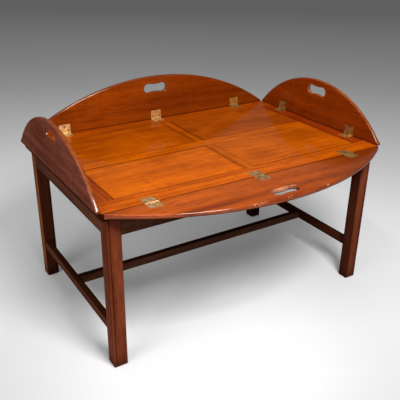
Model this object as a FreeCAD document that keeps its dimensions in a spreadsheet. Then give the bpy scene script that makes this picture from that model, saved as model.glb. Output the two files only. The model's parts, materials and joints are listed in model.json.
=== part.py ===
import FreeCAD, Part
import Sketcher
import os
import re

# Butler's tray table: a panelled tray with four hinged arc flaps on a square-legged stand.
# Frame: X to the right along the long side, Y to the back, Z up, origin on the floor
# under the middle of the stand. All sizes in millimetres.

doc = FreeCAD.newDocument("butlers_tray_table")
sheet = doc.addObject("Spreadsheet::Sheet", "Sizes")

# Driving sizes
SIZES = {
    # tray
    "tray_length": 880.0,
    "tray_width": 564.0,
    "tray_top": 450.0,
    "tray_thick": 20.0,
    "rail_width": 57.0,
    "stile_left_width": 55.0,
    "stile_right_width": 46.0,
    "centre_width": 44.0,
    "muntin_width": 24.0,
    "muntin_front_shift": 14.0,
    "muntin_back_shift": 7.0,
    "panel_thick": 12.0,
    "panel_quirk": 1.0,
    "tongue_thick": 6.0,
    "tongue_depth": 8.0,
    "tongue_drop": 3.0,
    "line_inset": 41.0,
    "line_width": 1.2,
    "line_depth": 0.8,
    # flaps
    "flap_thick": 12.0,
    "flap_long_rise": 142.5,
    "flap_short_rise": 137.5,
    "flap_end_inset": 4.0,
    "flap_end_rise": 5.2,
    "flap_edge_round": 4.6,
    "joint_gap": 0.3,
    "hole_long_inset": 38.5,
    "hole_short_inset": 33.5,
    "hole_lobe_radius": 16.0,
    "hole_lobe_reach": 26.0,
    "hole_waist_radius": 82.3,
    "hole_edge_round": 2.5,
    # stand
    "leg_size": 37.0,
    "leg_chamfer": 5.0,
    "leg_inset_long": 12.5,
    "leg_inset_short": 8.5,
    "leg_bead": 6.0,
    "foot_chamfer": 2.0,
    "apron_depth": 49.0,
    "apron_thick": 20.0,
    "apron_inset": 3.0,
    "apron_shoulder": 8.0,
    "stretcher_thick": 18.0,
    "stretcher_height": 24.0,
    "stretcher_rise": 101.0,
    "stretcher_inset": 2.0,
    "stretcher_shoulder": 4.0,
    "tenon_thick": 8.0,
    "tenon_length": 16.0,
    "centre_tenon": 10.0,
    "batten_width": 30.0,
    "batten_height": 14.0,
    "batten_clear": 1.0,
    # hinges
    "hinge_long_inset": 125.0,
    "hinge_short_inset": 121.0,
    "hinge_width": 36.0,
    "leaf_length": 29.0,
    "plate_thick": 2.0,
    "barrel_radius": 3.0,
    "barrel_clear": 0.3,
    "knuckle_length": 16.0,
    "knuckle_gap": 0.2,
    "pin_radius": 1.5,
    "pin_clear": 0.1,
    "spring_width": 9.0,
    "spring_length": 14.4,
    "spring_thick": 0.8,
    "spring_gap": 0.3,
    "screw_side": 12.0,
    "screw_near": 9.5,
    "screw_far": 23.0,
    "screw_head_radius": 3.2,
    "screw_shank_radius": 1.6,
    "screw_length": 9.0,
}

# Places and lengths that follow from the driving sizes
DERIVED = {
    "tray_base": "(tray_top - tray_thick)",
    "half_long": "(tray_length / 2)",
    "half_short": "(tray_width / 2)",
    "axis_long": "(half_long + joint_gap / 2)",
    "axis_short": "(half_short + joint_gap / 2)",
    "panel_left": "(half_long - stile_left_width)",
    "panel_right": "(half_long - stile_right_width)",
    "panel_y1": "(half_short - rail_width)",
    "panel_y0": "(centre_width / 2)",
    "hinge_long_place": "(half_long - hinge_long_inset)",
    "hinge_short_place": "(half_short - hinge_short_inset)",
    "tongue_top": "(tray_top - tongue_drop)",
    "tongue_base": "(tray_top - tongue_drop - tongue_thick)",
    "leg_x": "(half_long - leg_inset_long)",
    "leg_y": "(half_short - leg_inset_short)",
    "span_x": "(leg_x - leg_size)",
    "span_y": "(leg_y - leg_size)",
    "apron_base": "(tray_base - apron_depth)",
    "apron_tenon_base": "(apron_base + apron_shoulder)",
    "apron_tenon_top": "(tray_base - apron_shoulder)",
    "apron_tenon_near": "(apron_inset + apron_thick / 2 - tenon_thick / 2)",
    "apron_tenon_far": "(apron_inset + apron_thick / 2 + tenon_thick / 2)",
    "stretcher_top": "(stretcher_rise + stretcher_height)",
    "stretcher_tenon_base": "(stretcher_rise + stretcher_shoulder)",
    "stretcher_tenon_top": "(stretcher_top - stretcher_shoulder)",
    "stretcher_tenon_near": "(stretcher_inset + stretcher_thick / 2 - tenon_thick / 2)",
    "stretcher_tenon_far": "(stretcher_inset + stretcher_thick / 2 + tenon_thick / 2)",
    "stretcher_face": "(leg_x - stretcher_inset - stretcher_thick)",
    "batten_x1": "(leg_x - apron_inset - apron_thick - batten_clear)",
    "batten_y": "(span_y - batten_clear)",
    "barrel_relief": "(barrel_radius + barrel_clear)",
    "knuckle_half": "(knuckle_length / 2)",
    "knuckle_start": "(knuckle_length / 2 + knuckle_gap)",
    "spring_start": "(barrel_relief + spring_gap)",
    "head_depth": "(screw_head_radius - screw_shank_radius)",
    "waist_gap": "(hole_lobe_radius + hole_waist_radius)",
    "waist_reach": "sqrt(waist_gap * waist_gap - hole_lobe_reach * hole_lobe_reach)",
}

for row, (alias, value) in enumerate(SIZES.items(), start=1):
    sheet.set("A%d" % row, alias)
    sheet.set("B%d" % row, str(value))
    sheet.setAlias("B%d" % row, alias)
doc.recompute()

WORD = re.compile(r"[a-z][a-z_0-9]*")


def expand(text):
    """Write a size phrase as an expression on the sheet's cells."""

    def swap(match):
        word = match.group(0)
        if word in DERIVED:
            return expand(DERIVED[word])
        if word in SIZES:
            return "Sizes." + word
        return word

    return WORD.sub(swap, str(text))


def size(text):
    """Value of a size phrase in millimetres, for first placing of sketch geometry."""
    return float(doc.getObject("Sizes").evalExpression(expand(text)))


def bind(obj, prop, text):
    obj.setExpression(prop, expand(text))


def place(obj, base, rotation=None):
    """Put an object at a bound base point with a fixed turn."""
    if rotation is not None:
        obj.Placement = FreeCAD.Placement(FreeCAD.Vector(0, 0, 0), rotation)
    for axis, text in zip("xyz", base):
        bind(obj, "Placement.Base." + axis, text)
    return obj


def box(name, xs, ys, zs):
    obj = doc.addObject("Part::Box", name)
    for prop, (low, high) in zip(("Length", "Width", "Height"), (xs, ys, zs)):
        bind(obj, prop, "(%s) - (%s)" % (high, low))
    return place(obj, (xs[0], ys[0], zs[0]))


ALONG_X = FreeCAD.Rotation(FreeCAD.Vector(0, 1, 0), 90)
UPSIDE_DOWN = FreeCAD.Rotation(FreeCAD.Vector(1, 0, 0), 180)


def rod_x(name, xs, radius):
    """Round bar on the hinge axis, along local X."""
    obj = doc.addObject("Part::Cylinder", name)
    bind(obj, "Radius", radius)
    bind(obj, "Height", "(%s) - (%s)" % (xs[1], xs[0]))
    return place(obj, (xs[0], "0", "0"), ALONG_X)


def rod_down(name, spot, radius, top, bottom):
    """Round bar standing under a point, from a top depth to a bottom depth."""
    obj = doc.addObject("Part::Cylinder", name)
    bind(obj, "Radius", radius)
    bind(obj, "Height", "(%s) - (%s)" % (bottom, top))
    return place(obj, (spot[0], spot[1], "-(%s)" % top), UPSIDE_DOWN)


def head(name, spot):
    """Countersunk screw head, flush with the plate's upper face."""
    obj = doc.addObject("Part::Cone", name)
    bind(obj, "Radius1", "screw_head_radius")
    bind(obj, "Radius2", "screw_shank_radius")
    bind(obj, "Height", "head_depth")
    return place(obj, (spot[0], spot[1], "0"), UPSIDE_DOWN)


def fuse(name, shapes):
    obj = doc.addObject("Part::MultiFuse", name)
    obj.Shapes = shapes
    obj.Refine = True
    return obj


def cut(name, base, tools):
    obj = doc.addObject("Part::Cut", name)
    obj.Base = base
    obj.Tool = tools[0] if len(tools) == 1 else fuse(name + "_tools", tools)
    obj.Refine = True
    return obj


def group(name, shapes):
    obj = doc.addObject("Part::Compound", name)
    obj.Links = shapes
    return obj


NODES = []


def node(obj, label):
    obj.Label = label
    NODES.append((obj, label))
    return obj


def body_sketch(body, name):
    sketch = body.newObject("Sketcher::SketchObject", name)
    plane = [item for item in body.Origin.OriginFeatures if item.Role == "XY_Plane"][0]
    sketch.AttachmentSupport = (plane, [""])
    sketch.MapMode = "FlatFace"
    return sketch


def fix_point(sketch, geo, end, spot):
    """Tie a sketch point to the origin by bound distances along both axes."""
    for kind, text, axis in (("DistanceX", spot[0], -2), ("DistanceY", spot[1], -1)):
        value = size(text)
        if abs(value) < 1e-9:
            sketch.addConstraint(Sketcher.Constraint("PointOnObject", geo, end, axis))
        else:
            index = sketch.addConstraint(Sketcher.Constraint(kind, -1, 1, geo, end, value))
            sketch.setExpression("Constraints[%d]" % index, expand(text))


def join(sketch, first, first_end, second, second_end):
    sketch.addConstraint(Sketcher.Constraint("Coincident", first, first_end, second, second_end))


def radius_of(sketch, geo, text):
    index = sketch.addConstraint(Sketcher.Constraint("Radius", geo, size(text)))
    sketch.setExpression("Constraints[%d]" % index, expand(text))


def point(spot):
    return FreeCAD.Vector(size(spot[0]), size(spot[1]), 0)


def prism(name, spots, length):
    """Body padded up from a straight-sided outline."""
    body = doc.addObject("PartDesign::Body", name)
    sketch = body_sketch(body, name + "_outline")
    corners = [point(spot) for spot in spots]
    count = len(corners)
    for index in range(count):
        sketch.addGeometry(Part.LineSegment(corners[index], corners[(index + 1) % count]), False)
    for index in range(count):
        join(sketch, index, 2, (index + 1) % count, 1)
        fix_point(sketch, index, 1, spots[index])
    pad = body.newObject("PartDesign::Pad", name + "_pad")
    pad.Profile = sketch
    bind(pad, "Length", length)
    doc.recompute()
    return body, pad


def edge_names(feature, test):
    return ["Edge%d" % (i + 1) for i, edge in enumerate(feature.Shape.Edges) if test(edge)]


# Stand: legs

def leg(label, turn, corner, stretcher_side):
    """Square leg, drawn with its outer corner at the origin and turned into its place."""
    full = "leg_size"
    nib = "leg_size - leg_chamfer"
    outline = [("0", "0"), (full, "0"), (full, nib), (nib, full), ("0", full)]
    body, pad = prism(label + "_blank", outline, "tray_base")
    foot = body.newObject("PartDesign::Chamfer", label + "_foot")
    foot.Base = (pad, edge_names(pad, lambda e: e.BoundBox.ZMax < 1e-6))
    bind(foot, "Size", "foot_chamfer")
    body.Tip = foot
    low = "leg_size - tenon_length"
    tall = ("apron_tenon_base", "apron_tenon_top")
    short = ("stretcher_tenon_base", "stretcher_tenon_top")
    tenon = ("apron_tenon_near", "apron_tenon_far")
    rung = ("stretcher_tenon_near", "stretcher_tenon_far")
    deep = (low, full)
    bead = ("leg_bead", "leg_bead + line_width")
    skin = ("0", "line_depth")
    rise = ("0", "tray_base")
    tools = [
        box(label + "_mortise_a", deep, tenon, tall),
        box(label + "_mortise_b", tenon, deep, tall),
        box(label + "_line_a", bead, skin, rise),
        box(label + "_line_b", skin, bead, rise),
    ]
    if stretcher_side == "v":
        tools.append(box(label + "_mortise_c", rung, deep, short))
    else:
        tools.append(box(label + "_mortise_c", deep, rung, short))
    obj = cut(label, body, tools)
    place(obj, (corner[0], corner[1], "0"), FreeCAD.Rotation(FreeCAD.Vector(0, 0, 1), turn))
    node(obj, label)


leg("leg_front_left", 0, ("-leg_x", "-leg_y"), "v")
leg("leg_front_right", 90, ("leg_x", "-leg_y"), "u")
leg("leg_back_right", 180, ("leg_x", "leg_y"), "v")
leg("leg_back_left", 270, ("-leg_x", "leg_y"), "u")


# Stand: aprons and stretchers

def side(sign, near, far):
    """Interval on one side of the middle, in rising order."""
    if sign > 0:
        return (near, far)
    return ("-(%s)" % far, "-(%s)" % near)


for sign, label in ((-1, "apron_front"), (1, "apron_back")):
    faces = side(sign, "leg_y - apron_inset - apron_thick", "leg_y - apron_inset")
    tongue = side(sign, "leg_y - apron_tenon_far", "leg_y - apron_tenon_near")
    board = box(label + "_board", ("-span_x", "span_x"), faces, ("apron_base", "tray_base"))
    ends = ("-span_x - tenon_length", "span_x + tenon_length")
    tenon = box(label + "_tenon", ends, tongue, ("apron_tenon_base", "apron_tenon_top"))
    node(fuse(label, [board, tenon]), label)

for sign, label in ((-1, "apron_left"), (1, "apron_right")):
    faces = side(sign, "leg_x - apron_inset - apron_thick", "leg_x - apron_inset")
    tongue = side(sign, "leg_x - apron_tenon_far", "leg_x - apron_tenon_near")
    board = box(label + "_board", faces, ("-span_y", "span_y"), ("apron_base", "tray_base"))
    ends = ("-span_y - tenon_length", "span_y + tenon_length")
    tenon = box(label + "_tenon", tongue, ends, ("apron_tenon_base", "apron_tenon_top"))
    node(fuse(label, [board, tenon]), label)

half_tenon = ("-tenon_thick / 2", "tenon_thick / 2")
rung_rise = ("stretcher_rise", "stretcher_top")
rung_tenon_rise = ("stretcher_tenon_base", "stretcher_tenon_top")

for sign, label in ((-1, "stretcher_left"), (1, "stretcher_right")):
    faces = side(sign, "stretcher_face", "leg_x - stretcher_inset")
    tongue = side(sign, "leg_x - stretcher_tenon_far", "leg_x - stretcher_tenon_near")
    pocket = side(sign, "stretcher_face", "stretcher_face + centre_tenon")
    board = box(label + "_board", faces, ("-span_y", "span_y"), rung_rise)
    ends = ("-span_y - tenon_length", "span_y + tenon_length")
    tenon = box(label + "_tenon", tongue, ends, rung_tenon_rise)
    mortise = box(label + "_mortise", pocket, half_tenon, rung_tenon_rise)
    node(cut(label, fuse(label + "_bar", [board, tenon]), [mortise]), label)

board = box("stretcher_centre_board", ("-stretcher_face", "stretcher_face"),
            ("-stretcher_thick / 2", "stretcher_thick / 2"), rung_rise)
tenon = box("stretcher_centre_tenon", ("-stretcher_face - centre_tenon", "stretcher_face + centre_tenon"),
            half_tenon, rung_tenon_rise)
node(fuse("stretcher_centre", [board, tenon]), "stretcher_centre")


# Hinge places: name, flap, turn about Z, axis point, raised at rest
HINGES = []
for word, spot in (("left", "-hinge_long_place"), ("middle", "0"), ("right", "hinge_long_place")):
    HINGES.append(("hinge_front_" + word, "front", 0, (spot, "-axis_short", "tray_top"), False))
    HINGES.append(("hinge_back_" + word, "back", 180, (spot, "axis_short", "tray_top"), True))
for word, spot in (("front", "-hinge_short_place"), ("back", "hinge_short_place")):
    HINGES.append(("hinge_left_" + word, "left", -90, ("-axis_long", spot, "tray_top"), True))
    HINGES.append(("hinge_right_" + word, "right", 90, ("axis_long", spot, "tray_top"), True))

SCREWS = (("screw_side", "screw_near"), ("-screw_side", "screw_near"), ("0", "screw_far"))
FULL = ("-hinge_width / 2", "hinge_width / 2")
RELIEF = ("-hinge_width / 2 - barrel_clear", "hinge_width / 2 + barrel_clear")
PLATE = ("-plate_thick", "0")


def level(turn):
    return FreeCAD.Rotation(FreeCAD.Vector(0, 0, 1), turn)


def raised(turn):
    return level(turn).multiply(FreeCAD.Rotation(FreeCAD.Vector(1, 0, 0), -90))


def flip(spot, sign):
    return (spot[0], spot[1] if sign > 0 else "-(%s)" % spot[1])


def screw_set(name, sign):
    """Three countersunk screws of one leaf, drawn at the hinge axis."""
    parts = []
    for index, spot in enumerate(SCREWS):
        where = flip(spot, sign)
        parts.append(head("%s_head%d" % (name, index), where))
        parts.append(rod_down("%s_shank%d" % (name, index), where,
                              "screw_shank_radius", "head_depth", "screw_length"))
    return fuse(name, parts)


def seat_tools(name, sign, shift):
    """Wood taken away for one leaf: plate recess, barrel relief and pilot holes."""
    plate = box(name + "_recess", FULL, side(sign, "0", "leaf_length"), PLATE)
    relief = rod_x(name + "_relief", RELIEF, "barrel_relief")
    parts = [plate, relief]
    for index, spot in enumerate(SCREWS):
        parts.append(rod_down("%s_pilot%d" % (name, index), flip(spot, sign),
                              "screw_shank_radius", "head_depth", "screw_length"))
    if sign > 0:
        slot = ("-spring_width / 2", "spring_width / 2")
        parts.append(box(name + "_slot", slot, ("0", "spring_start + spring_length"),
                         ("-plate_thick - spring_thick", "0")))
    return place(fuse(name, parts), shift)


# Hinge leaves, pins, springs and tray screws
tray_tools = {"front": [], "back": [], "left": [], "right": []}
flap_screws = {"front": [], "back": [], "left": [], "right": []}
tray_screws = []
pins = []
springs = []

for name, flap, turn, spot, is_up in HINGES:
    flap_turn = raised(turn) if is_up else level(turn)
    tab = side(1, "0", "barrel_relief")
    # tray leaf with the two outer knuckles, holding the pin fast
    outer = ("knuckle_start", "hinge_width / 2")
    inner = ("-hinge_width / 2", "-(knuckle_start)")
    plate = box(name + "_tray_plate", FULL, ("barrel_relief", "leaf_length"), PLATE)
    pieces = [plate]
    for mark, span in (("a", outer), ("b", inner)):
        pieces.append(box(name + "_tray_tab_" + mark, span, tab, PLATE))
        pieces.append(rod_x(name + "_tray_knuckle_" + mark, span, "barrel_radius"))
    blank = fuse(name + "_tray_blank", pieces)
    bore = rod_x(name + "_tray_bore", FULL, "pin_radius")
    holes = screw_set(name + "_tray_holes", 1)
    leaf = cut(name + "_tray_leaf", blank, [bore, holes])
    node(place(leaf, spot, level(turn)), name + "_tray_leaf")
    # flap leaf with the middle knuckle, turning on the pin
    middle = ("-(knuckle_half)", "knuckle_half")
    plate = box(name + "_flap_plate", FULL, side(-1, "barrel_relief", "leaf_length"), PLATE)
    lug = box(name + "_flap_tab", middle, side(-1, "0", "barrel_relief"), PLATE)
    knuckle = rod_x(name + "_flap_knuckle", middle, "barrel_radius")
    blank = fuse(name + "_flap_blank", [plate, lug, knuckle])
    bore = rod_x(name + "_flap_bore", FULL, "pin_radius + pin_clear")
    holes = screw_set(name + "_flap_holes", -1)
    leaf = cut(name + "_flap_leaf", blank, [bore, holes])
    node(place(leaf, spot, flap_turn), name + "_flap_leaf")
    # loose pieces
    pin = rod_x(name + "_pin", FULL, "pin_radius")
    pins.append(place(group(name + "_pin_set", [pin]), spot, level(turn)))
    spring = box(name + "_spring", ("-spring_width / 2", "spring_width / 2"),
                 ("spring_start", "spring_start + spring_length"),
                 ("-plate_thick - spring_thick", "-plate_thick"))
    springs.append(place(group(name + "_spring_set", [spring]), spot, level(turn)))
    tray_screws.append(place(screw_set(name + "_tray_screws", 1), spot, level(turn)))
    flap_screws[flap].append(place(screw_set(name + "_flap_screws", -1), spot, flap_turn))
    tray_tools[flap].append(place(seat_tools(name + "_tray_seat", 1, ("0", "0", "0")), spot, level(turn)))

node(group("hinge_pins", pins), "hinge_pins")
node(group("hinge_springs", springs), "hinge_springs")
node(group("tray_hinge_screws", tray_screws), "tray_hinge_screws")
for flap in ("front", "back", "left", "right"):
    node(group(flap + "_flap_screws", flap_screws[flap]), flap + "_flap_screws")


# Tray: rails, stiles, centre rail, muntins and panels
DEEP = ("tray_base", "tray_top")
TONGUE = ("tongue_base", "tongue_top")
SCRIBE = ("tray_top - line_depth", "tray_top")

for sign, label, key in ((-1, "rail_front", "front"), (1, "rail_back", "back")):
    long = ("-half_long", "half_long")
    board = box(label + "_board", long, side(sign, "panel_y1", "half_short"), DEEP)
    groove = box(label + "_groove", long, side(sign, "panel_y1", "panel_y1 + tongue_depth"), TONGUE)
    scribe = side(sign, "half_short - line_inset - line_width", "half_short - line_inset")
    line = box(label + "_line", long, scribe, SCRIBE)
    node(cut(label, board, [groove, line] + tray_tools[key]), label)

for sign, label, key in ((-1, "stile_left", "left"), (1, "stile_right", "right")):
    inner = "panel_" + key
    board = box(label + "_board", side(sign, inner, "half_long"), ("-panel_y1", "panel_y1"), DEEP)
    ends = ("-panel_y1 - tongue_depth", "panel_y1 + tongue_depth")
    tenon = box(label + "_tenon", side(sign, inner + " + tongue_depth", "half_long"), ends, TONGUE)
    groove = box(label + "_groove", side(sign, inner, inner + " + tongue_depth"),
                 ("-panel_y1", "panel_y1"), TONGUE)
    scribe = side(sign, "half_long - line_inset - line_width", "half_long - line_inset")
    line = box(label + "_line", scribe, ("-panel_y1", "panel_y1"), SCRIBE)
    blank = fuse(label + "_blank", [board, tenon])
    node(cut(label, blank, [groove, line] + tray_tools[key]), label)

middle = ("-panel_left", "panel_right")
board = box("rail_centre_board", middle, ("-panel_y0", "panel_y0"), DEEP)
tenon = box("rail_centre_tenon", ("-panel_left - tongue_depth", "panel_right + tongue_depth"),
            ("-panel_y0 + tongue_depth", "panel_y0 - tongue_depth"), TONGUE)
blank = fuse("rail_centre_blank", [board, tenon])
grooves = []
for sign, mark in ((-1, "front"), (1, "back")):
    grooves.append(box("rail_centre_groove_" + mark, middle,
                       side(sign, "panel_y0 - tongue_depth", "panel_y0"), TONGUE))
node(cut("rail_centre", blank, grooves), "rail_centre")

for sign, row_name in ((-1, "front"), (1, "back")):
    label = "muntin_" + row_name
    low = "muntin_%s_shift - muntin_width / 2" % row_name
    high = "muntin_%s_shift + muntin_width / 2" % row_name
    board = box(label + "_board", (low, high), side(sign, "panel_y0", "panel_y1"), DEEP)
    tenon = box(label + "_tenon", (low + " + tongue_depth", high + " - tongue_depth"),
                side(sign, "panel_y0 - tongue_depth", "panel_y1 + tongue_depth"), TONGUE)
    blank = fuse(label + "_blank", [board, tenon])
    grooves = []
    edges = (("left", low, low + " + tongue_depth"), ("right", high + " - tongue_depth", high))
    for mark, near, far in edges:
        grooves.append(box(label + "_groove_" + mark, (near, far),
                           side(sign, "panel_y0", "panel_y1"), TONGUE))
    node(cut(label, blank, grooves), label)
    # the row's two panels
    for mark, near, far in (("left", "-panel_left", low), ("right", high, "panel_right")):
        label = "panel_%s_%s" % (row_name, mark)
        field = box(label + "_field", (near + " + panel_quirk", far + " - panel_quirk"),
                    side(sign, "panel_y0 + panel_quirk", "panel_y1 - panel_quirk"),
                    ("tray_top - panel_thick", "tray_top"))
        ground = box(label + "_ground", (near, far), side(sign, "panel_y0", "panel_y1"),
                     ("tray_top - panel_thick", "tray_top - panel_quirk"))
        tongue = box(label + "_tongue", (near + " - tongue_depth", far + " + tongue_depth"),
                     side(sign, "panel_y0 - tongue_depth", "panel_y1 + tongue_depth"), TONGUE)
        node(fuse(label, [field, ground, tongue]), label)

for sign, label in ((-1, "batten_left"), (1, "batten_right")):
    obj = box(label, side(sign, "batten_x1 - batten_width", "batten_x1"),
              ("-batten_y", "batten_y"), ("tray_base - batten_height", "tray_base"))
    node(obj, label)


# Flaps

def flap_blank(name, reach, kind):
    """Arc-shaped board lying flat, hinge axis on local X, spreading to local -Y."""
    rise = "flap_%s_rise" % kind
    hole_rise = "(flap_%s_rise - hole_%s_inset)" % (kind, kind)
    body = doc.addObject("PartDesign::Body", name)
    sketch = body_sketch(body, name + "_outline")
    left = "-(%s)" % reach
    edge = "-joint_gap / 2"
    shoulder = "-flap_end_rise"
    drop = "(%s - flap_end_rise)" % rise
    sweep = "((%s) * (%s) + %s * %s) / (2 * %s)" % (reach, reach, drop, drop, drop)
    a = point((left, edge))
    b = point((reach, edge))
    c = point((reach, shoulder))
    d = point((left, shoulder))
    crown = FreeCAD.Vector(0, -size(rise), 0)
    sketch.addGeometry(Part.LineSegment(a, b), False)
    sketch.addGeometry(Part.LineSegment(b, c), False)
    sketch.addGeometry(Part.LineSegment(d, a), False)
    sketch.addGeometry(Part.Arc(d, crown, c), False)
    join(sketch, 0, 2, 1, 1)
    join(sketch, 2, 2, 0, 1)
    join(sketch, 3, 2, 1, 2)
    join(sketch, 3, 1, 2, 1)
    fix_point(sketch, 0, 1, (left, edge))
    fix_point(sketch, 0, 2, (reach, edge))
    fix_point(sketch, 1, 2, (reach, shoulder))
    fix_point(sketch, 2, 1, (left, shoulder))
    radius_of(sketch, 3, sweep)
    pad = body.newObject("PartDesign::Pad", name + "_board")
    pad.Profile = sketch
    pad.Reversed = True
    bind(pad, "Length", "flap_thick")
    doc.recompute()
    # hand hole: two round lobes joined by a pinched waist
    hole = body_sketch(body, name + "_hole")
    lobe = size("hole_lobe_radius")
    waist = size("hole_waist_radius")
    out = size("hole_lobe_reach")
    deep = size("waist_reach")
    mid = -size(hole_rise)
    share = lobe / (lobe + waist)
    tx = out - out * share
    ty = deep * share
    spots = {
        "ur": FreeCAD.Vector(tx, mid + ty, 0), "lr": FreeCAD.Vector(tx, mid - ty, 0),
        "ul": FreeCAD.Vector(-tx, mid + ty, 0), "ll": FreeCAD.Vector(-tx, mid - ty, 0),
    }
    far = FreeCAD.Vector(out + lobe, mid, 0)
    near = FreeCAD.Vector(-out - lobe, mid, 0)
    high = FreeCAD.Vector(0, mid + deep - waist, 0)
    low = FreeCAD.Vector(0, mid - deep + waist, 0)
    hole.addGeometry(Part.Arc(spots["lr"], far, spots["ur"]), False)
    hole.addGeometry(Part.Arc(spots["ul"], near, spots["ll"]), False)
    hole.addGeometry(Part.Arc(spots["ul"], high, spots["ur"]), False)
    hole.addGeometry(Part.Arc(spots["ll"], low, spots["lr"]), False)
    fix_point(hole, 0, 3, ("hole_lobe_reach", "-" + hole_rise))
    fix_point(hole, 1, 3, ("-hole_lobe_reach", "-" + hole_rise))
    radius_of(hole, 0, "hole_lobe_radius")
    radius_of(hole, 1, "hole_lobe_radius")
    for first, second in ((2, 0), (3, 0), (2, 1), (3, 1)):
        ends = []
        for one in (1, 2):
            for two in (1, 2):
                gap = hole.getPoint(first, one).sub(hole.getPoint(second, two)).Length
                ends.append((gap, one, two))
        gap, one, two = min(ends)
        hole.addConstraint(Sketcher.Constraint("Tangent", first, one, second, two))
    radius_of(hole, 2, "hole_waist_radius")
    radius_of(hole, 3, "hole_waist_radius")
    pocket = body.newObject("PartDesign::Pocket", name + "_hand_hole")
    pocket.Profile = hole
    bind(pocket, "Length", "flap_thick")
    doc.recompute()
    if pocket.Shape.Volume > pad.Shape.Volume - 1.0:
        pocket.Reversed = True
        doc.recompute()
    edge_round = body.newObject("PartDesign::Fillet", name + "_edge_round")
    big = size(sweep)
    edge_round.Base = (pocket, edge_names(pocket, lambda e: is_arc(e, big)))
    bind(edge_round, "Radius", "flap_edge_round")
    doc.recompute()
    grip = body.newObject("PartDesign::Fillet", name + "_grip_round")
    grip.Base = (edge_round, edge_names(edge_round, lambda e: is_arc(e, lobe) or is_arc(e, waist)))
    bind(grip, "Radius", "hole_edge_round")
    body.Tip = grip
    doc.recompute()
    return body


def is_arc(edge, radius):
    """True for a round edge of the given radius lying level in the board."""
    if not isinstance(edge.Curve, Part.Circle):
        return False
    flat = edge.BoundBox.ZLength < 1e-4
    return flat and abs(edge.Curve.Radius - radius) < 1e-3


LONG_SPOTS = ("-hinge_long_place", "0", "hinge_long_place")
SHORT_SPOTS = ("-hinge_short_place", "hinge_short_place")
FLAPS = (
    ("front", "half_long - flap_end_inset", "long", LONG_SPOTS, 0,
     ("0", "-axis_short", "tray_top"), False),
    ("back", "half_long - flap_end_inset", "long", LONG_SPOTS, 180,
     ("0", "axis_short", "tray_top"), True),
    ("left", "half_short - flap_end_inset", "short", SHORT_SPOTS, -90,
     ("-axis_long", "0", "tray_top"), True),
    ("right", "half_short - flap_end_inset", "short", SHORT_SPOTS, 90,
     ("axis_long", "0", "tray_top"), True),
)

for word, reach, kind, places, turn, spot, is_up in FLAPS:
    label = "flap_" + word
    body = flap_blank(label + "_blank", reach, kind)
    tools = []
    for index, along in enumerate(places):
        tools.append(seat_tools("%s_seat%d" % (label, index), -1, (along, "0", "0")))
    obj = cut(label, body, tools)
    place(obj, spot, raised(turn) if is_up else level(turn))
    node(obj, label)

doc.recompute()

# Check every object, then write each piece to its own file
for obj in doc.Objects:
    if "Invalid" in obj.State or "Error" in obj.State:
        raise RuntimeError("%s did not build: %s" % (obj.Name, obj.State))
os.makedirs("parts", exist_ok=True)
for obj, label in NODES:
    shape = obj.Shape
    if shape.isNull() or not shape.isValid() or not shape.Solids:
        raise RuntimeError("%s has no sound solid" % label)
    shape.exportStep("parts/%s.step" % label)
print("%d pieces written" % len(NODES))
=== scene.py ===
"""Looks of the butler's tray table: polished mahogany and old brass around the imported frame.

Lengths are metres in the table's own frame: X to the right along the long side, Y to the back,
Z up, origin on the floor under the middle of the stand.
"""

import json
import logging
from dataclasses import dataclass, field
from enum import Enum
from typing import Any, Callable, Dict, List, Optional, Sequence, Tuple

import bpy
import numpy as np
from mathutils import Matrix, Vector

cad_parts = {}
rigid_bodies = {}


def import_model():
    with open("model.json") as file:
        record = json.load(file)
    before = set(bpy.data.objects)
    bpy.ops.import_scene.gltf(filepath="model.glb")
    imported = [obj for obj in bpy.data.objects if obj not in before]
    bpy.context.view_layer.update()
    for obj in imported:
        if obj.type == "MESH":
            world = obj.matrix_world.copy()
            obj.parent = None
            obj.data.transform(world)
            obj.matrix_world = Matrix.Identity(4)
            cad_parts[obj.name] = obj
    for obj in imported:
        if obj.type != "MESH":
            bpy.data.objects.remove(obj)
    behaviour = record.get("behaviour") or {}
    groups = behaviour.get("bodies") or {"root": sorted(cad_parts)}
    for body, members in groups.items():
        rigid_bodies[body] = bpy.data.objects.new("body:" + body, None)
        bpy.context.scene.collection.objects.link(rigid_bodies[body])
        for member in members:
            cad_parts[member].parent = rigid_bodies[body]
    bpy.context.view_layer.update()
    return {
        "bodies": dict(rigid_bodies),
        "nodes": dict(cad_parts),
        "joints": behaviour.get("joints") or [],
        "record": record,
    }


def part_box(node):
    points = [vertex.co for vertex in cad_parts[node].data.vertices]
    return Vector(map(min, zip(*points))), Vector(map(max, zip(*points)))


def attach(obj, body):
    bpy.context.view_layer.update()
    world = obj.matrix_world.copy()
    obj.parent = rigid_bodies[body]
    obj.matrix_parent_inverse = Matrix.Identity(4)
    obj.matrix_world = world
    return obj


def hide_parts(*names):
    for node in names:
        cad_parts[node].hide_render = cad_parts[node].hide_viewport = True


LOG = logging.getLogger("tray_table")
# Farther than any board reaches
FAR = 9.0
# Degrees below which an edge shades smooth
SMOOTH = 40.0

Socket = bpy.types.NodeSocket
Piece = bpy.types.Object
Pair = Tuple[float, float]
Point = Tuple[float, float, float]
Tones = Tuple[str, str, str]


class Grain(Enum):
    """Direction in which a board's fibres run."""

    LENGTH = "x"
    DEPTH = "y"
    HEIGHT = "z"


class Side(Enum):
    """The four sides of the tray."""

    FRONT = "front"
    BACK = "back"
    LEFT = "left"
    RIGHT = "right"

    @property
    def across(self) -> int:
        """Number of the axis that crosses this side."""
        return 1 if self in (Side.FRONT, Side.BACK) else 0


def tone(code: str) -> Point:
    """Turn a hexadecimal screen colour into scene-linear values.

    Args:
        code: six hexadecimal digits, red first.

    Returns:
        The linear red, green and blue.
    """
    parts = [int(code[i:i + 2], 16) / 255 for i in (0, 2, 4)]
    return tuple(p / 12.92 if p <= 0.04045 else ((p + 0.055) / 1.055) ** 2.4 for p in parts)


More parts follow.
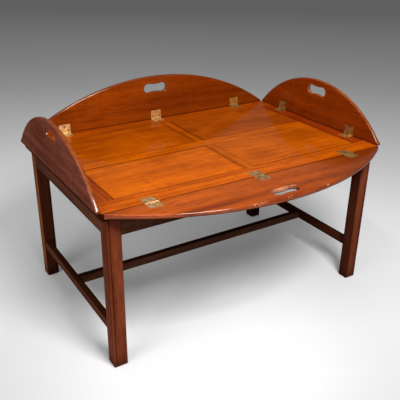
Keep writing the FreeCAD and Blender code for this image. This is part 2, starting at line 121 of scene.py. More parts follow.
def tray_top() -> float:
    """Height of the tray's upper face."""
    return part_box("rail_centre")[1].z


class NodeBench:
    """Lays out the nodes of one material or world and joins them."""

    def __init__(self, owner: Any, shader: str = "Principled BSDF") -> None:
        """Start on a new material or world.

        Args:
            owner: the material or world.
            shader: the name of the shader node that it starts with.
        """
        owner.use_nodes = True
        self.owner, self.tree = owner, owner.node_tree
        self.shader = self.tree.nodes[shader]

    def feed(self, node: bpy.types.Node, inputs: Dict[Any, Any]) -> None:
        """Link sockets into a node's inputs, or write plain values on them.

        Args:
            node: the node to feed.
            inputs: sockets or plain values by the input's name or number.
        """
        for key, value in inputs.items():
            if isinstance(value, Socket):
                self.tree.links.new(value, node.inputs[key])
            else:
                node.inputs[key].default_value = value

    def node(self, kind: str, inputs: Optional[Dict[Any, Any]] = None, **props: Any) -> bpy.types.Node:
        """Add a node, set its properties and feed its inputs.

        Args:
            kind: the node's type.
            inputs: sockets or plain values by the input's name or number.
            props: the node's properties by name.

        Returns:
            The new node.
        """
        made = self.tree.nodes.new(kind)
        for name, value in props.items():
            setattr(made, name, value)
        self.feed(made, inputs or {})
        return made

    def math(self, operation: str, *values: Any, clamp: bool = False) -> Socket:
        """Do arithmetic on sockets and numbers.

        Args:
            operation: the name of the arithmetic step.
            values: sockets or numbers, in order.
            clamp: keep the result from 0 to 1.

        Returns:
            The result's socket.
        """
        made = self.node("ShaderNodeMath", dict(enumerate(values)), operation=operation, use_clamp=clamp)
        return made.outputs[0]

    def times(self, first: Any, second: Any) -> Socket:
        """Multiply two values."""
        return self.math("MULTIPLY", first, second)

    def vector(self, operation: str, *values: Any) -> Socket:
        """Do vector arithmetic; a length or a dot product comes out as a number."""
        made = self.node("ShaderNodeVectorMath", dict(enumerate(values)), operation=operation)
        return made.outputs["Value" if operation in ("LENGTH", "DOT_PRODUCT") else 0]

    def step(self, value: Any, low: float, high: float) -> Socket:
        """Rise smoothly from 0 at low to 1 at high; high below low gives a fall.

        Args:
            value: the value to follow.
            low: where the result is 0.
            high: where it is 1.

        Returns:
            The result's socket.
        """
        falls = high < low
        first, last = (high, low) if falls else (low, high)
        inputs = {0: value, 1: first, 2: last, 3: float(falls), 4: float(not falls)}
        return self.node("ShaderNodeMapRange", inputs, interpolation_type="SMOOTHSTEP").outputs[0]

    def axes(self, vector: Socket) -> List[Socket]:
        """Split a vector into its three parts."""
        return list(self.node("ShaderNodeSeparateXYZ", {0: vector}).outputs)

    def place(self) -> Socket:
        """Position on the piece, in the piece's own frame."""
        return self.node("ShaderNodeTexCoord").outputs["Object"]

    def mapping(self, vector: Any, move: Sequence[float] = (0, 0, 0), turn: Point = (0, 0, 0),
                scale: Sequence[float] = (1, 1, 1)) -> Socket:
        """Scale, turn and then move a position."""
        inputs = {"Vector": vector, "Location": move, "Rotation": turn, "Scale": scale}
        return self.node("ShaderNodeMapping", inputs).outputs[0]

    def within(self, spot: Socket, middle: Sequence[float], reach: Sequence[float], core: float) -> Socket:
        """Share that rises from 0 on an ellipsoid's skin to 1 at a core.

        The position's distance from the middle, measured in reaches on each axis, is 1 on the skin.

        Args:
            spot: the position.
            middle: the ellipsoid's middle.
            reach: its half sizes.
            core: distance, in reaches, inside which the share is 1.

        Returns:
            The share's socket.
        """
        scale = [1.0 / half for half in reach]
        move = [-mid * size for mid, size in zip(middle, scale)]
        return self.step(self.vector("LENGTH", self.mapping(spot, move=move, scale=scale)), 1.0, core)

    def noise(self, vector: Any, scale: float, detail: float, rough: float = 0.5,
              colour: bool = False) -> Socket:
        """Cloudy noise at a position.

        Args:
            vector: the position.
            scale: cells in a metre.
            detail: octaves.
            rough: weight of the finer octaves.
            colour: give three values in place of one.

        Returns:
            The noise socket.
        """
        inputs = {"Vector": vector, "Scale": scale, "Detail": detail, "Roughness": rough}
        return self.node("ShaderNodeTexNoise", inputs).outputs["Color" if colour else "Fac"]

    def fibres(self, along: Socket, cells: Pair, detail: float, rough: float = 0.5,
               colour: bool = False) -> Socket:
        """Noise with one number of cells in a metre along the fibres and another across them."""
        drawn = self.mapping(along, scale=(cells[0], cells[1], cells[1]))
        return self.noise(drawn, 1.0, detail, rough, colour)

    def mix(self, share: Any, first: Any, second: Any, blend: str = "MIX") -> Socket:
        """Blend two colours by a share.

        Args:
            share: weight of the second colour, from 0 to 1.
            first, second: sockets, or plain red, green and blue.
            blend: how the second colour is laid on the first.

        Returns:
            The blended colour's socket.
        """
        first, second = [hue if isinstance(hue, Socket) else (*hue, 1.0) for hue in (first, second)]
        made = self.node("ShaderNodeMix", data_type="RGBA", blend_type=blend)
        self.feed(made, {0: share, 6: first, 7: second})
        return made.outputs[2]

    def ramp(self, value: Any, stops: Sequence[Tuple[float, Any]]) -> Socket:
        """Colour a value by stops.

        Args:
            value: the value, from 0 to 1.
            stops: places and their colours, in rising order.

        Returns:
            The colour's socket.
        """
        made = self.node("ShaderNodeValToRGB", {0: value})
        elements = made.color_ramp.elements
        while len(elements) < len(stops):
            elements.new(0.5)
        for element, (where, colour) in zip(elements, stops):
            element.position = where
            element.color = (*colour, 1.0)
        return made.outputs[0]

    def bump(self, height: Any, strength: float, depth: float) -> Socket:
        """Normal tilted by a height map, depth in metres."""
        inputs = {"Strength": strength, "Distance": depth, "Height": height}
        return self.node("ShaderNodeBump", inputs).outputs[0]

    def watched(self) -> Socket:
        """Tell the rays that show a background: from the camera, mirrored or through glass.

        Returns:
            A socket that is 1 for those rays and 0 for others.
        """
        path = self.node("ShaderNodeLightPath").outputs
        mirrored = self.math("MAXIMUM", path["Is Glossy Ray"], path["Is Transmission Ray"])
        return self.math("MAXIMUM", path["Is Camera Ray"], mirrored)


@dataclass(frozen=True)
class Grime:
    """Dirt along the outline of a rectangle: hinge recesses, panel edges, joints and scribed lines.

    Attributes:
        axes: numbers of the two axes in which the rectangle lies.
        middle: the rectangle's middle on those axes.
        half: half its size on those axes.
        width: how far the dirt spreads from the outline.
        weight: how dark the dirt is.
    """

    axes: Tuple[int, int]
    middle: Pair
    half: Pair
    width: float = 0.0016
    weight: float = 0.8

    @classmethod
    def line(cls, axis: int, place: float, width: float, weight: float = 0.8) -> "Grime":
        """Dirt along one straight line, the edge of a rectangle of great length."""
        return cls((axis, 2 if axis != 2 else 0), (place + FAR, 0.0), (FAR, FAR), width, weight)

    def mask(self, bench: NodeBench, axes: Sequence[Socket]) -> Socket:
        """Share of dirt from the distance to the outline.

        The distance is the greater of |p - middle| - half on the two axes; its size, falling to the
        dirt's width, gives a share from 1 to 0.

        Args:
            bench: the material being built.
            axes: the three parts of the position.

        Returns:
            The share's socket.
        """
        gaps = []
        for axis, middle, half in zip(self.axes, self.middle, self.half):
            away = bench.math("ABSOLUTE", bench.math("SUBTRACT", axes[axis], middle))
            gaps.append(bench.math("SUBTRACT", away, half))
        reach = bench.math("ABSOLUTE", bench.math("MAXIMUM", *gaps))
        return bench.times(bench.step(reach, self.width, 0.0), self.weight)


@dataclass(frozen=True)
class Wear:
    """Pale speckled spot inside an ellipsoid: chipped or rubbed polish, and also painted highlights; a lower
    cut leaves more of it bare.
    """

    middle: Point
    reach: Point
    cut: float
    cells: float = 210.0
    soft: float = 0.06
    core: float = 0.35

    def mask(self, bench: NodeBench, spot: Socket) -> Socket:
        """Share of the pale spot: a speckle that fades out towards the ellipsoid's skin."""
        speckle = bench.step(bench.noise(spot, self.cells, detail=3.0, rough=0.6), self.cut,
                             self.cut + self.soft)
        return bench.times(bench.within(spot, self.middle, self.reach, self.core), speckle)


@dataclass(frozen=True)
class Smear:
    """Soft patch on the tray's face: darker figure with painted shade where the share is positive, lighter
    figure with painted light where it is negative.
    """

    middle: Pair
    reach: Pair
    share: float
    cells: Point = (14.0, 60.0, 1.0)
    core: float = 0.1

    def mask(self, bench: NodeBench, spot: Socket) -> Socket:
        """Share of the patch: an ellipse that fades outwards, broken up by cloudy noise.

        Args:
            bench: the material being built.
            spot: the position.

        Returns:
            The share's socket.
        """
        inside = bench.within(spot, (*self.middle, 0.0), (*self.reach, np.inf), self.core)
        cloud = bench.noise(bench.mapping(spot, scale=self.cells), scale=1.0, detail=2.0)
        return bench.math("MULTIPLY", inside, bench.times(cloud, 2.0 * abs(self.share)), clamp=True)


@dataclass(frozen=True)
class Fade:
    """Painted shade that deepens along one axis of a board."""

    axis: int
    start: float
    end: float
    share: float

    def mask(self, bench: NodeBench, axes: Sequence[Socket]) -> Socket:
        """Share of the painted shade, rising smoothly from start to end."""
        return bench.times(bench.step(axes[self.axis], self.start, self.end), self.share)


@dataclass(frozen=True)
class Mahogany:
    """French-polished mahogany board.

    Attributes:
        name: the material's name.
        grain: direction of the fibres.
        seed: moves the figure, so that no two boards match.
        tint: colour in the middle of the figure.
        depth: contrast of the figure.
        cathedral: weight of the ring figure against straight stripes.
        coat: weight of the polish.
        gloss: roughness of the polish.
        foot: darkens the wood near the floor.
        sunk: height below which the tray's cut lines are dark, or None.
        grime: dirt lines on the board.
        stripe: weight of the long stripes.
        glints: painted highlight lines on the board.
        smears: soft dark and light patches, figure with painted shade and light.
        wear: rubbed places on the board, and painted highlights.
        fades: ends at which shade is painted deeper.
        face: direction of the board's polished face, or None where all faces match.
        rim_tint: colour of the board's edges, their own tone with painted shade.
        under_tint: colour of its hidden face, its own tone with painted shade.
        bare: how far a surface turns from the face before it has no polish, as a cosine.
    """

    name: str
    grain: Grain
    seed: float
    tint: str
    depth: float = 0.8
    cathedral: float = 0.3
    coat: float = 0.55
    gloss: float = 0.09
    foot: bool = False
    sunk: Optional[float] = None
    grime: Tuple[Grime, ...] = ()
    stripe: float = 0.5
    glints: Tuple[Grime, ...] = ()
    smears: Tuple[Smear, ...] = ()
    wear: Tuple[Wear, ...] = ()
    fades: Tuple[Fade, ...] = ()
    face: Optional[Point] = None
    rim_tint: str = "54240f"
    under_tint: str = "6a3520"
    bare: float = 0.3

    # Ratios to the tint
    DARK_FIGURE, LIGHT_FIGURE = (0.46, 0.36, 0.30), (1.4, 1.5, 1.6)
    PATINA, PORE, DEEP_POLISH = (0.5, 0.38, 0.3), 0.22, (0.3, 0.2, 0.15)
    DARK_PATCH, LIGHT_PATCH, GLINT = (0.35, 0.25, 0.15), (1.3, 1.5, 1.4), (1.5, 2.0, 4.0)
    # Cells in a metre along and across the fibres, octaves, roughness, weight, and whether it is a stripe
    LAYERS = (((0.9, 12.0), 2.0, 0.5, 0.9, True), ((2.0, 55.0), 3.0, 0.55, 0.6, True),
              ((12.0, 260.0), 3.0, 0.6, 0.6, False), ((5.0, 15.0), 3.0, 0.55, 0.65, False),
              ((75.0, 11.0), 2.0, 0.5, 0.18, False))
    FIGURE_STOPS = (0.08, 0.5, 0.92)
    # Cells in a metre of the fibres' wander, how far they wander, and how the rings are stretched
    WANDER_CELLS, WANDER, RING_STRETCH = (1.4, 4.5), (0.0, 0.05, 0.05), (0.2, 1.0, 1.0)
    RINGS = {"Scale": 13.0, "Distortion": 4.0, "Detail": 3.0, "Detail Scale": 1.8}
    RING_WEIGHT = 0.3
    # Cosines to the face between which the edges' tint, and then the hidden face's, comes in
    EDGE_TURN, BACK_TURN, BARE_TURN = (0.93, 0.6), (-0.7, -0.95), 0.4
    # Rate and limit by which the seed moves the figure on each axis
    SHIFTS = ((1.37, 7), (2.11, 5), (0.73, 3))
    FOOT_TINT, RUBBED_TINT, DIRT_TINT = "1c0c06", "c98a66", "2a0b03"
    # Cells in a metre of pores and flecks, along and across the fibres, and of the cloudy patina
    PORE_CELLS, FLECK_CELLS, PATINA_CELLS = (60.0, 1500.0), (22.0, 150.0), 4.0
    # Values of their noise between which they come in
    PATINA_STEP, PORE_STEP, FLECK_STEP = (0.35, 0.8), (0.6, 0.7), (0.54, 0.7)
    # Weights of patina, pores, flecks, a dark foot, rubbed wood with painted highlights, and dirt in the
    # tray's cut lines
    PATINA_SHARE, PORE_SHARE, FLECK_SHARE = 0.3, 0.45, 0.5
    FOOT_SHARE, RUBBED_SHARE, CUT_SHARE = 0.55, 0.8, 0.35
    # Height of a dark foot, and depths between which the cut lines darken
    FOOT_RISE, CUT_DEPTHS = 0.05, (0.0001, 0.0005)

    @property
    def mid(self) -> np.ndarray:
        """The tint in scene-linear values."""
        return np.array(tone(self.tint))

    def turn(self) -> Point:
        """Turn that brings the fibres onto the local X."""
        quarter = np.pi / 2
        return {Grain.LENGTH: (0, 0, 0), Grain.DEPTH: (0, 0, -quarter),
                Grain.HEIGHT: (0, quarter, 0)}[self.grain]

    def figure(self, bench: NodeBench, along: Socket) -> Socket:
        """Add up the wood's figure: bands, streaks, fine streaks, clouds, cross ripple and rings.

        Args:
            bench: the material being built.
            along: position with the fibres on X.

        Returns:
            A value about 0.5, higher where the wood is lighter.
        """
        wander = bench.fibres(along, self.WANDER_CELLS, detail=2.0, colour=True)
        flow = bench.vector("MULTIPLY_ADD", wander, self.WANDER, along)
        rings = bench.node("ShaderNodeTexWave", wave_type="RINGS", rings_direction="X")
        bench.feed(rings, {"Vector": bench.mapping(flow, scale=self.RING_STRETCH), **self.RINGS})
        layers = [(bench.fibres(flow, cells, detail, rough), weight * self.stripe if striped else weight)
                  for cells, detail, rough, weight, striped in self.LAYERS]
        layers.append((rings.outputs["Fac"], self.RING_WEIGHT * self.cathedral))
        total: Any = 0.5
        for layer, weight in layers:
            total = bench.math("MULTIPLY_ADD", bench.math("SUBTRACT", layer, 0.5), self.depth * weight, total)
        return total

    def clean(self, bench: NodeBench, along: Socket, patina: Socket, pores: Socket) -> Socket:
        """Colour of the clean board: its figure from dark to light, then patina, pores and flecks.

        Args:
            bench: the material being built.
            along: position with the fibres on X.
            patina: cloudy noise of the old polish.
            pores: share of open pores.

        Returns:
            The colour's socket.
        """
        mid = self.mid
        shades = mid * self.DARK_FIGURE, mid, mid * self.LIGHT_FIGURE
        colour = bench.ramp(self.figure(bench, along), list(zip(self.FIGURE_STOPS, shades)))
        flecks = bench.step(bench.fibres(along, self.FLECK_CELLS, detail=2.0), *self.FLECK_STEP)
        aged = bench.step(patina, *self.PATINA_STEP)
        for share, weight, ratio in ((aged, self.PATINA_SHARE, self.PATINA),
                                     (pores, self.PORE_SHARE, self.PORE),
                                     (flecks, self.FLECK_SHARE, self.PATINA)):
            colour = bench.mix(bench.times(share, weight), colour, mid * ratio)
        return colour

    def marked(self, bench: NodeBench, colour: Socket, spot: Socket, axes: Sequence[Socket]) -> Socket:
        """Add the painted shade at the ends, the soft patches of figure with painted light and shade, and the
        painted highlight lines to a colour.

        Args:
            bench: the material being built.
            colour: the clean board's colour.
            spot: the position.
            axes: its three parts.

        Returns:
            The colour's socket.
        """
        for fade in self.fades:
            colour = bench.mix(fade.mask(bench, axes), colour, self.mid * self.DEEP_POLISH)
        for patch in self.smears:
            ratio = self.DARK_PATCH if patch.share > 0 else self.LIGHT_PATCH
            colour = bench.mix(patch.mask(bench, spot), colour, self.mid * ratio)
        # Painted highlight lines along the rails.
        for line in self.glints:
            colour = bench.mix(line.mask(bench, axes), colour, self.mid * self.GLINT)
        return colour

    def edged(self, bench: NodeBench, colour: Socket) -> Tuple[Socket, Any]:
        """Tint the edges and the hidden face by how far they turn from the polished face, painting shade on
        them over the wood's own duller tone.

        Args:
            bench: the material being built.
            colour: the polished face's colour.

        Returns:
            The colour, and the weight of the polish.
        """
        if self.face is None:
            return colour, self.coat
        facing = bench.vector("DOT_PRODUCT", bench.node("ShaderNodeTexCoord").outputs["Normal"], self.face)
        edge, back = np.array(tone(self.rim_tint)), np.array(tone(self.under_tint))
        for turn, ratio in ((self.EDGE_TURN, edge / self.mid), (self.BACK_TURN, back / edge)):
            colour = bench.mix(bench.step(facing, *turn), colour, ratio, "MULTIPLY")
        return colour, bench.times(bench.step(facing, self.bare, self.bare + self.BARE_TURN), self.coat)

    def soil(self, bench: NodeBench, axes: Sequence[Socket]) -> Any:
        """Find the greatest share of dirt among the dirt lines and the tray's cut lines.

        Args:
            bench: the material being built.
            axes: the three parts of the position.

        Returns:
            The share's socket, or 0 where the board has no dirt.
        """
        dirt = [line.mask(bench, axes) for line in self.grime]
        if self.sunk is not None:
            start, end = [self.sunk - depth for depth in self.CUT_DEPTHS]
            dirt.append(bench.times(bench.step(axes[2], start, end), self.CUT_SHARE))
        shade: Any = 0.0
        for share in dirt:
            shade = bench.math("MAXIMUM", share, shade)
        return shade

    def material(self) -> bpy.types.Material:
        """Build the wood's nodes.

        Returns:
            The material.
        """
        bench = NodeBench(bpy.data.materials.new(self.name))
        spot = bench.place()
        axes = bench.axes(spot)
        shift = [self.seed * rate % limit for rate, limit in self.SHIFTS]
        along = bench.mapping(spot, move=shift, turn=self.turn())
        patina = bench.noise(along, self.PATINA_CELLS, detail=2.0)
        pores = bench.step(bench.fibres(along, self.PORE_CELLS, detail=2.0), *self.PORE_STEP)
        colour = self.marked(bench, self.clean(bench, along, patina, pores), spot, axes)
        colour, polish = self.edged(bench, colour)
        if self.foot:
            low = bench.step(axes[2], self.FOOT_RISE, 0.0)
            colour = bench.mix(bench.times(low, self.FOOT_SHARE), colour, tone(self.FOOT_TINT))
        for place in self.wear:
            share = bench.times(place.mask(bench, spot), self.RUBBED_SHARE)
            colour = bench.mix(share, colour, tone(self.RUBBED_TINT))
        shade = self.soil(bench, axes)
        if self.face is not None:
            polish = bench.times(polish, bench.math("SUBTRACT", 1.0, shade))
        dull = bench.math("MULTIPLY_ADD", patina, 0.2, 0.32)
        bench.feed(bench.shader, {
            "Base Color": bench.mix(shade, colour, tone(self.DIRT_TINT)),
            "Roughness": bench.math("MULTIPLY_ADD", pores, 0.15, dull),
            "Normal": bench.bump(bench.times(pores, -1.0), strength=0.15, depth=0.0003),
            "Coat Weight": polish, "Coat Roughness": self.gloss, "Coat IOR": 1.5,
            "Specular IOR Level": 0.0})
        return bench.owner


@dataclass(frozen=True)
class Brass:
    """Old brass with brown tarnish and rubbed high spots."""

    name: str
    bright: str = "eec08a"
    warm: str = "cf9a60"
    tarnish: str = "6a4622"
    grime: Tuple[Grime, ...] = ()
    dirt: str = "2a1608"

    def material(self) -> bpy.types.Material:
        """Build the metal's nodes.

        Returns:
            The material.
        """
        bench = NodeBench(bpy.data.materials.new(self.name))
        spot = bench.place()
        cloud = bench.noise(spot, scale=95.0, detail=4.0, rough=0.65)
        specks = bench.step(bench.noise(spot, scale=330.0, detail=3.0, rough=0.6), low=0.52, high=0.66)
        drawn = bench.mapping(spot, turn=(0, 0, 0.5), scale=(60.0, 1400.0, 60.0))
        rub = bench.noise(drawn, scale=1.0, detail=2.0)
        colour = bench.ramp(cloud, ((0.28, tone(self.tarnish)), (0.42, tone(self.warm)),
                                    (0.6, tone(self.bright))))
        colour = bench.mix(bench.times(specks, 0.75), colour, tone(self.tarnish))
        for line in self.grime:
            colour = bench.mix(line.mask(bench, bench.axes(spot)), colour, tone(self.dirt))
        rough = bench.math("MULTIPLY_ADD", cloud, -0.3, 0.55)
        bench.feed(bench.shader, {
            "Base Color": colour, "Metallic": 0.5,
            "Roughness": bench.math("MULTIPLY_ADD", rub, 0.08, rough),
            "Normal": bench.bump(rub, strength=0.25, depth=0.0002)})
        return bench.owner


@dataclass(frozen=True)
class SpringSteel:
    """Dark steel of the flat springs under the hinges."""

    name: str = "spring_steel_dark"
    dark: str = "3b3733"
    light: str = "74706b"

    def material(self) -> bpy.types.Material:
        """Build the steel's nodes.

        Returns:
            The material.
        """
        bench = NodeBench(bpy.data.materials.new(self.name))
        cloud = bench.noise(bench.place(), scale=260.0, detail=3.0, rough=0.6)
        bench.feed(bench.shader, {
            "Base Color": bench.ramp(cloud, ((0.35, tone(self.dark)), (0.65, tone(self.light)))),
            "Metallic": 1.0, "Roughness": bench.math("MULTIPLY_ADD", cloud, 0.3, 0.25)})
        return bench.owner


class Surfaces:
    """Turns worked-out grids of points into mesh pieces."""

    @staticmethod
    def strip_faces(rows: int, columns: int, closed: bool) -> np.ndarray:
        """Number the quads of a grid.

        Args:
            rows: points along the path.
            columns: points round the profile.
            closed: join the last column to the first.

        Returns:
            Quads as rows of four point numbers.
        """
        row, column = np.meshgrid(np.arange(rows - 1), np.arange(columns if closed else columns - 1),
                                  indexing="ij")
        after = (column + 1) % columns
        quad = np.stack([row * columns + column, row * columns + after,
                         (row + 1) * columns + after, (row + 1) * columns + column], axis=-1)
        return quad.reshape(-1, 4)

    @staticmethod
    def piece(name: str, points: np.ndarray, faces: List[List[int]],
              smooth: Optional[float] = None) -> Piece:
        """Make a mesh object at the origin.

        Args:
            name: the piece's name.
            points: rows of X, Y and Z.
            faces: point numbers of each face.
            smooth: angle in degrees below which edges shade smooth.

        Returns:
            The new object.
        """
        mesh = bpy.data.meshes.new(name)
        mesh.from_pydata(points.reshape(-1, 3).tolist(), [], faces)
        mesh.validate()
        mesh.update()
        made = bpy.data.objects.new(name, mesh)
        bpy.context.scene.collection.objects.link(made)
        if smooth is not None:
            mesh.shade_smooth()
            mesh.set_sharp_from_angle(angle=np.radians(smooth))
        return made

    @staticmethod
    def rounded_corner(corner: np.ndarray, before: np.ndarray, after: np.ndarray, radius: float,
                       count: int = 4) -> np.ndarray:
        """Replace a corner by a quadratic curve between points a radius away on its two sides.

        Args:
            corner: the sharp corner.
            before, after: the neighbouring corners.
            radius: distance from the corner at which the curve starts and ends.
            count: points on the curve.

        Returns:
            The curve's points in order.
        """
        start = corner + (before - corner) / np.linalg.norm(before - corner) * radius
        end = corner + (after - corner) / np.linalg.norm(after - corner) * radius
        share = np.linspace(0.0, 1.0, count)[:, None]
        return (1 - share) ** 2 * start + 2 * share * (1 - share) * corner + share ** 2 * end

    @classmethod
    def outline(cls, corners: Sequence[Pair], radii: Sequence[float]) -> np.ndarray:
        """Close an outline and round its corners.

        Args:
            corners: the sharp corners in order.
            radii: for each corner how far from it the curve starts; 0 keeps it sharp.

        Returns:
            The outline's points in order.
        """
        spots = np.asarray(corners, float)
        parts = [cls.rounded_corner(spot, spots[i - 1], spots[(i + 1) % len(spots)], radius)
                 if radius > 0 else spot[None, :]
                 for i, (spot, radius) in enumerate(zip(spots, radii))]
        return np.concatenate(parts)

    @classmethod
    def sweep(cls, name: str, profile: np.ndarray, stations: np.ndarray, shrink: np.ndarray,
              frame: np.ndarray, origin: np.ndarray, smooth: float = SMOOTH) -> Piece:
        """Carry a closed profile along a straight path.

        The point at station s and profile corner (u, v) is
        origin + s * path + (u', v') on the two cross directions, where u', v' are the corner
        drawn towards the profile's middle by that station's shrink in metres.

        Args:
            name: the piece's name.
            profile: corners round the section, counter-clockwise seen from the path's end.
            stations: distances along the path.
            shrink: how far each station's section is drawn in.
            frame: rows of the path direction and the two cross directions.
            origin: where the path starts.
            smooth: shading angle in degrees.

        Returns:
            The new piece, closed at both ends.
        """
        middle = (profile.max(axis=0) + profile.min(axis=0)) / 2
        reach = (profile.max(axis=0) - profile.min(axis=0)) / 2
        factor = 1.0 - shrink[:, None] / reach[None, :]
        section = middle + (profile - middle)[None, :, :] * factor[:, None, :]
        points = (origin + stations[:, None, None] * frame[0]
                  + section[..., 0:1] * frame[1] + section[..., 1:2] * frame[2])
        rows, columns = points.shape[:2]
        faces = cls.strip_faces(rows, columns, True).tolist()
        faces.append(list(range(columns))[::-1])
        faces.append(list(range((rows - 1) * columns, rows * columns)))
        return cls.piece(name, points, faces, smooth)


@dataclass
class Stand:
    """Four legs with aprons and stretchers, as separate boards with eased arrises."""

    bead: float = 0.006
    quirk: float = 0.0012
    quirk_depth: float = 0.0009
    chamfer: float = 0.005
    foot_ease: float = 0.002
    arris: float = 0.0014
    bead_round: float = 0.62
    quirk_lips: Pair = (0.0004, 0.0003)
    nose: float = 0.001
    foot_run: float = 0.06
    stations: int = 9
    apron_out: float = 0.0025
    apron_drop: float = 0.0015
    leg_tint: str = "803e25"
    # A lighter copy of the leg tint for the back left leg: painted light.
    pale_leg_tint: str = "935426"
    long_tint: str = "6c422e"
    end_tint: str = "6a3a24"
    # Tints of the edges and inner faces, stretcher tops among them: painted shade where the tray shades the
    # stand.
    rim_tint: str = "40200f"
    under_tint: str = "56281a"
    quirk_dirt: Pair = (0.002, 0.9)
    seeds: Pair = (11.3, 2.9)
    pieces: Dict[str, Piece] = field(default_factory=dict)

    def leg_profile(self, full: float) -> np.ndarray:
        """Section of a leg: square, outer corner worked to a bead between two quirks.

        Args:
            full: the side of the square.

        Returns:
            Corners with the outer corner at the origin, counter-clockwise.
        """
        nib, bead, gap, deep = full - self.chamfer, self.bead, self.quirk, self.quirk_depth
        corners = [(0, 0), (bead, 0), (bead + gap / 2, deep), (bead + gap, 0), (full, 0), (full, nib),
                   (nib, full), (0, full), (0, bead + gap), (deep, bead + gap / 2), (0, bead)]
        (outer, inner), nose, arris = self.quirk_lips, self.nose, self.arris
        radii = [bead * self.bead_round, outer, 0, inner, arris, nose, nose, arris, inner, 0, outer]
        return Surfaces.outline(corners, radii)

    def legs(self) -> None:
        """Build the four legs, each turned so that its bead faces outwards."""
        turns = {"leg_front_left": (0, -1, -1), "leg_front_right": (1, 1, -1),
                 "leg_back_right": (2, 1, 1), "leg_back_left": (3, -1, 1)}
        for label, (quarter, sx, sy) in turns.items():
            low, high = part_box(label)
            profile = self.leg_profile(high.x - low.x)
            stations = np.concatenate([[0.0, self.foot_ease], np.linspace(self.foot_run, high.z, 6)])
            shrink = np.where(stations > 0.0, 0.0, self.foot_ease)
            c, s = np.round(np.cos(quarter * np.pi / 2)), np.round(np.sin(quarter * np.pi / 2))
            frame = np.array([[0, 0, 1], [c, s, 0], [-s, c, 0]], float)
            origin = np.array([high.x if sx > 0 else low.x, high.y if sy > 0 else low.y, 0.0])
            self.keep(label, Surfaces.sweep(label + "_leg", profile, stations, shrink, frame, origin))

    def board(self, label: str, low: Vector, high: Vector, along: Grain) -> None:
        """Build one apron or stretcher: a rectangle with eased corners carried along its length.

        Args:
            label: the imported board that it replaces.
            low, high: the board's lowest and highest corners.
            along: direction of its length.
        """
        low_p, high_p = np.array(low), np.array(high)
        order = {Grain.LENGTH: [0, 1, 2], Grain.DEPTH: [1, 2, 0]}[along]
        frame, span = np.eye(3)[order], (high_p - low_p)[order]
        corners = [(0, 0), (span[1], 0), (span[1], span[2]), (0, span[2])]
        profile = Surfaces.outline(corners, [self.arris] * 4)
        stations = np.linspace(0.0, span[0], self.stations)
        made = Surfaces.sweep(label + "_board", profile, stations, np.zeros_like(stations), frame, low_p)
        self.keep(label, made)

    def keep(self, label: str, piece: Piece) -> None:
        """Put a piece on the stand in place of its plain solid.

        Args:
            label: the solid that it replaces.
            piece: the new piece.
        """
        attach(piece, "stand")
        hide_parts(label)
        self.pieces[label] = piece
        LOG.info("stand piece %s", piece.name)

    def apron_box(self, label: str, across: int) -> Tuple[Vector, Vector]:
        """Box of an apron, its face nearly flush with the legs and its lower edge let down.

        Args:
            label: the apron.
            across: number of the axis that crosses it.

        Returns:
            The lowest and highest corners.
        """
        low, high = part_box(label)
        if low[across] < 0.0:
            low[across] -= self.apron_out
        else:
            high[across] += self.apron_out
        low.z -= self.apron_drop
        return low, high

    def boards(self) -> None:
        """Build the aprons and stretchers between the legs and each other."""
        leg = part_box("leg_front_right")[0].x, -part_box("leg_front_right")[1].y
        for label in ("apron_front", "apron_back"):
            low, high = self.apron_box(label, 1)
            low.x, high.x = -leg[0], leg[0]
            self.board(label, low, high, Grain.LENGTH)
        for label in ("apron_left", "apron_right", "stretcher_left", "stretcher_right"):
            low, high = self.apron_box(label, 0) if "apron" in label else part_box(label)
            low.y, high.y = -leg[1], leg[1]
            self.board(label, low, high, Grain.DEPTH)
        low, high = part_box("stretcher_centre")
        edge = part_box("stretcher_right")[0].x
        low.x, high.x = -edge, edge
        self.board("stretcher_centre", low, high, Grain.LENGTH)

    def dress(self) -> None:
        """Finish the stand in the darker, redder wood, with painted shade on the inner faces and on the
        stretchers' tops.
        """
        for index, (label, piece) in enumerate(sorted(self.pieces.items())):
            leg = label.startswith("leg")
            low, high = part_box(label)
            out = [float(np.sign(low[k] + high[k])) for k in (0, 1)]
            under = self.long_tint if label == "stretcher_centre" else self.under_tint
            if leg:
                # The back left leg takes the lighter copy: painted light.
                tint = self.pale_leg_tint if label == "leg_back_left" else self.leg_tint
                grain, face = Grain.HEIGHT, (out[0], out[1], 0.0)
            elif label in ("apron_front", "apron_back", "stretcher_centre"):
                grain, tint, face = Grain.LENGTH, self.long_tint, (0.0, out[1] or -1.0, 0.0)
            else:
                grain, tint, face = Grain.DEPTH, self.end_tint, (out[0], 0.0, 0.0)
            finish = Mahogany("stand_" + label, grain, self.seeds[0] + self.seeds[1] * index, tint,
                              depth=1.2, cathedral=0.2, stripe=1.3, coat=0.05, gloss=0.2, foot=leg,
                              face=face, rim_tint=self.rim_tint, under_tint=under,
                              grime=self.quirk_lines(label) if leg else ())
            piece.data.materials.append(finish.material())

    def quirk_lines(self, label: str) -> Tuple[Grime, ...]:
        """Dirt in the two quirks beside a leg's bead.

        Args:
            label: the leg.

        Returns:
            One short line for each quirk.
        """
        low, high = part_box(label)
        outer = [high[k] if high[k] > 0 else low[k] for k in (0, 1)]
        quirk = [spot - np.sign(spot) * (self.bead + self.quirk / 2) for spot in outer]
        reach, weight = self.quirk_dirt
        return (Grime((0, 1), (quirk[0], outer[1]), (0.0, reach), weight=weight),
                Grime((0, 1), (outer[0], quirk[1]), (reach, 0.0), weight=weight))


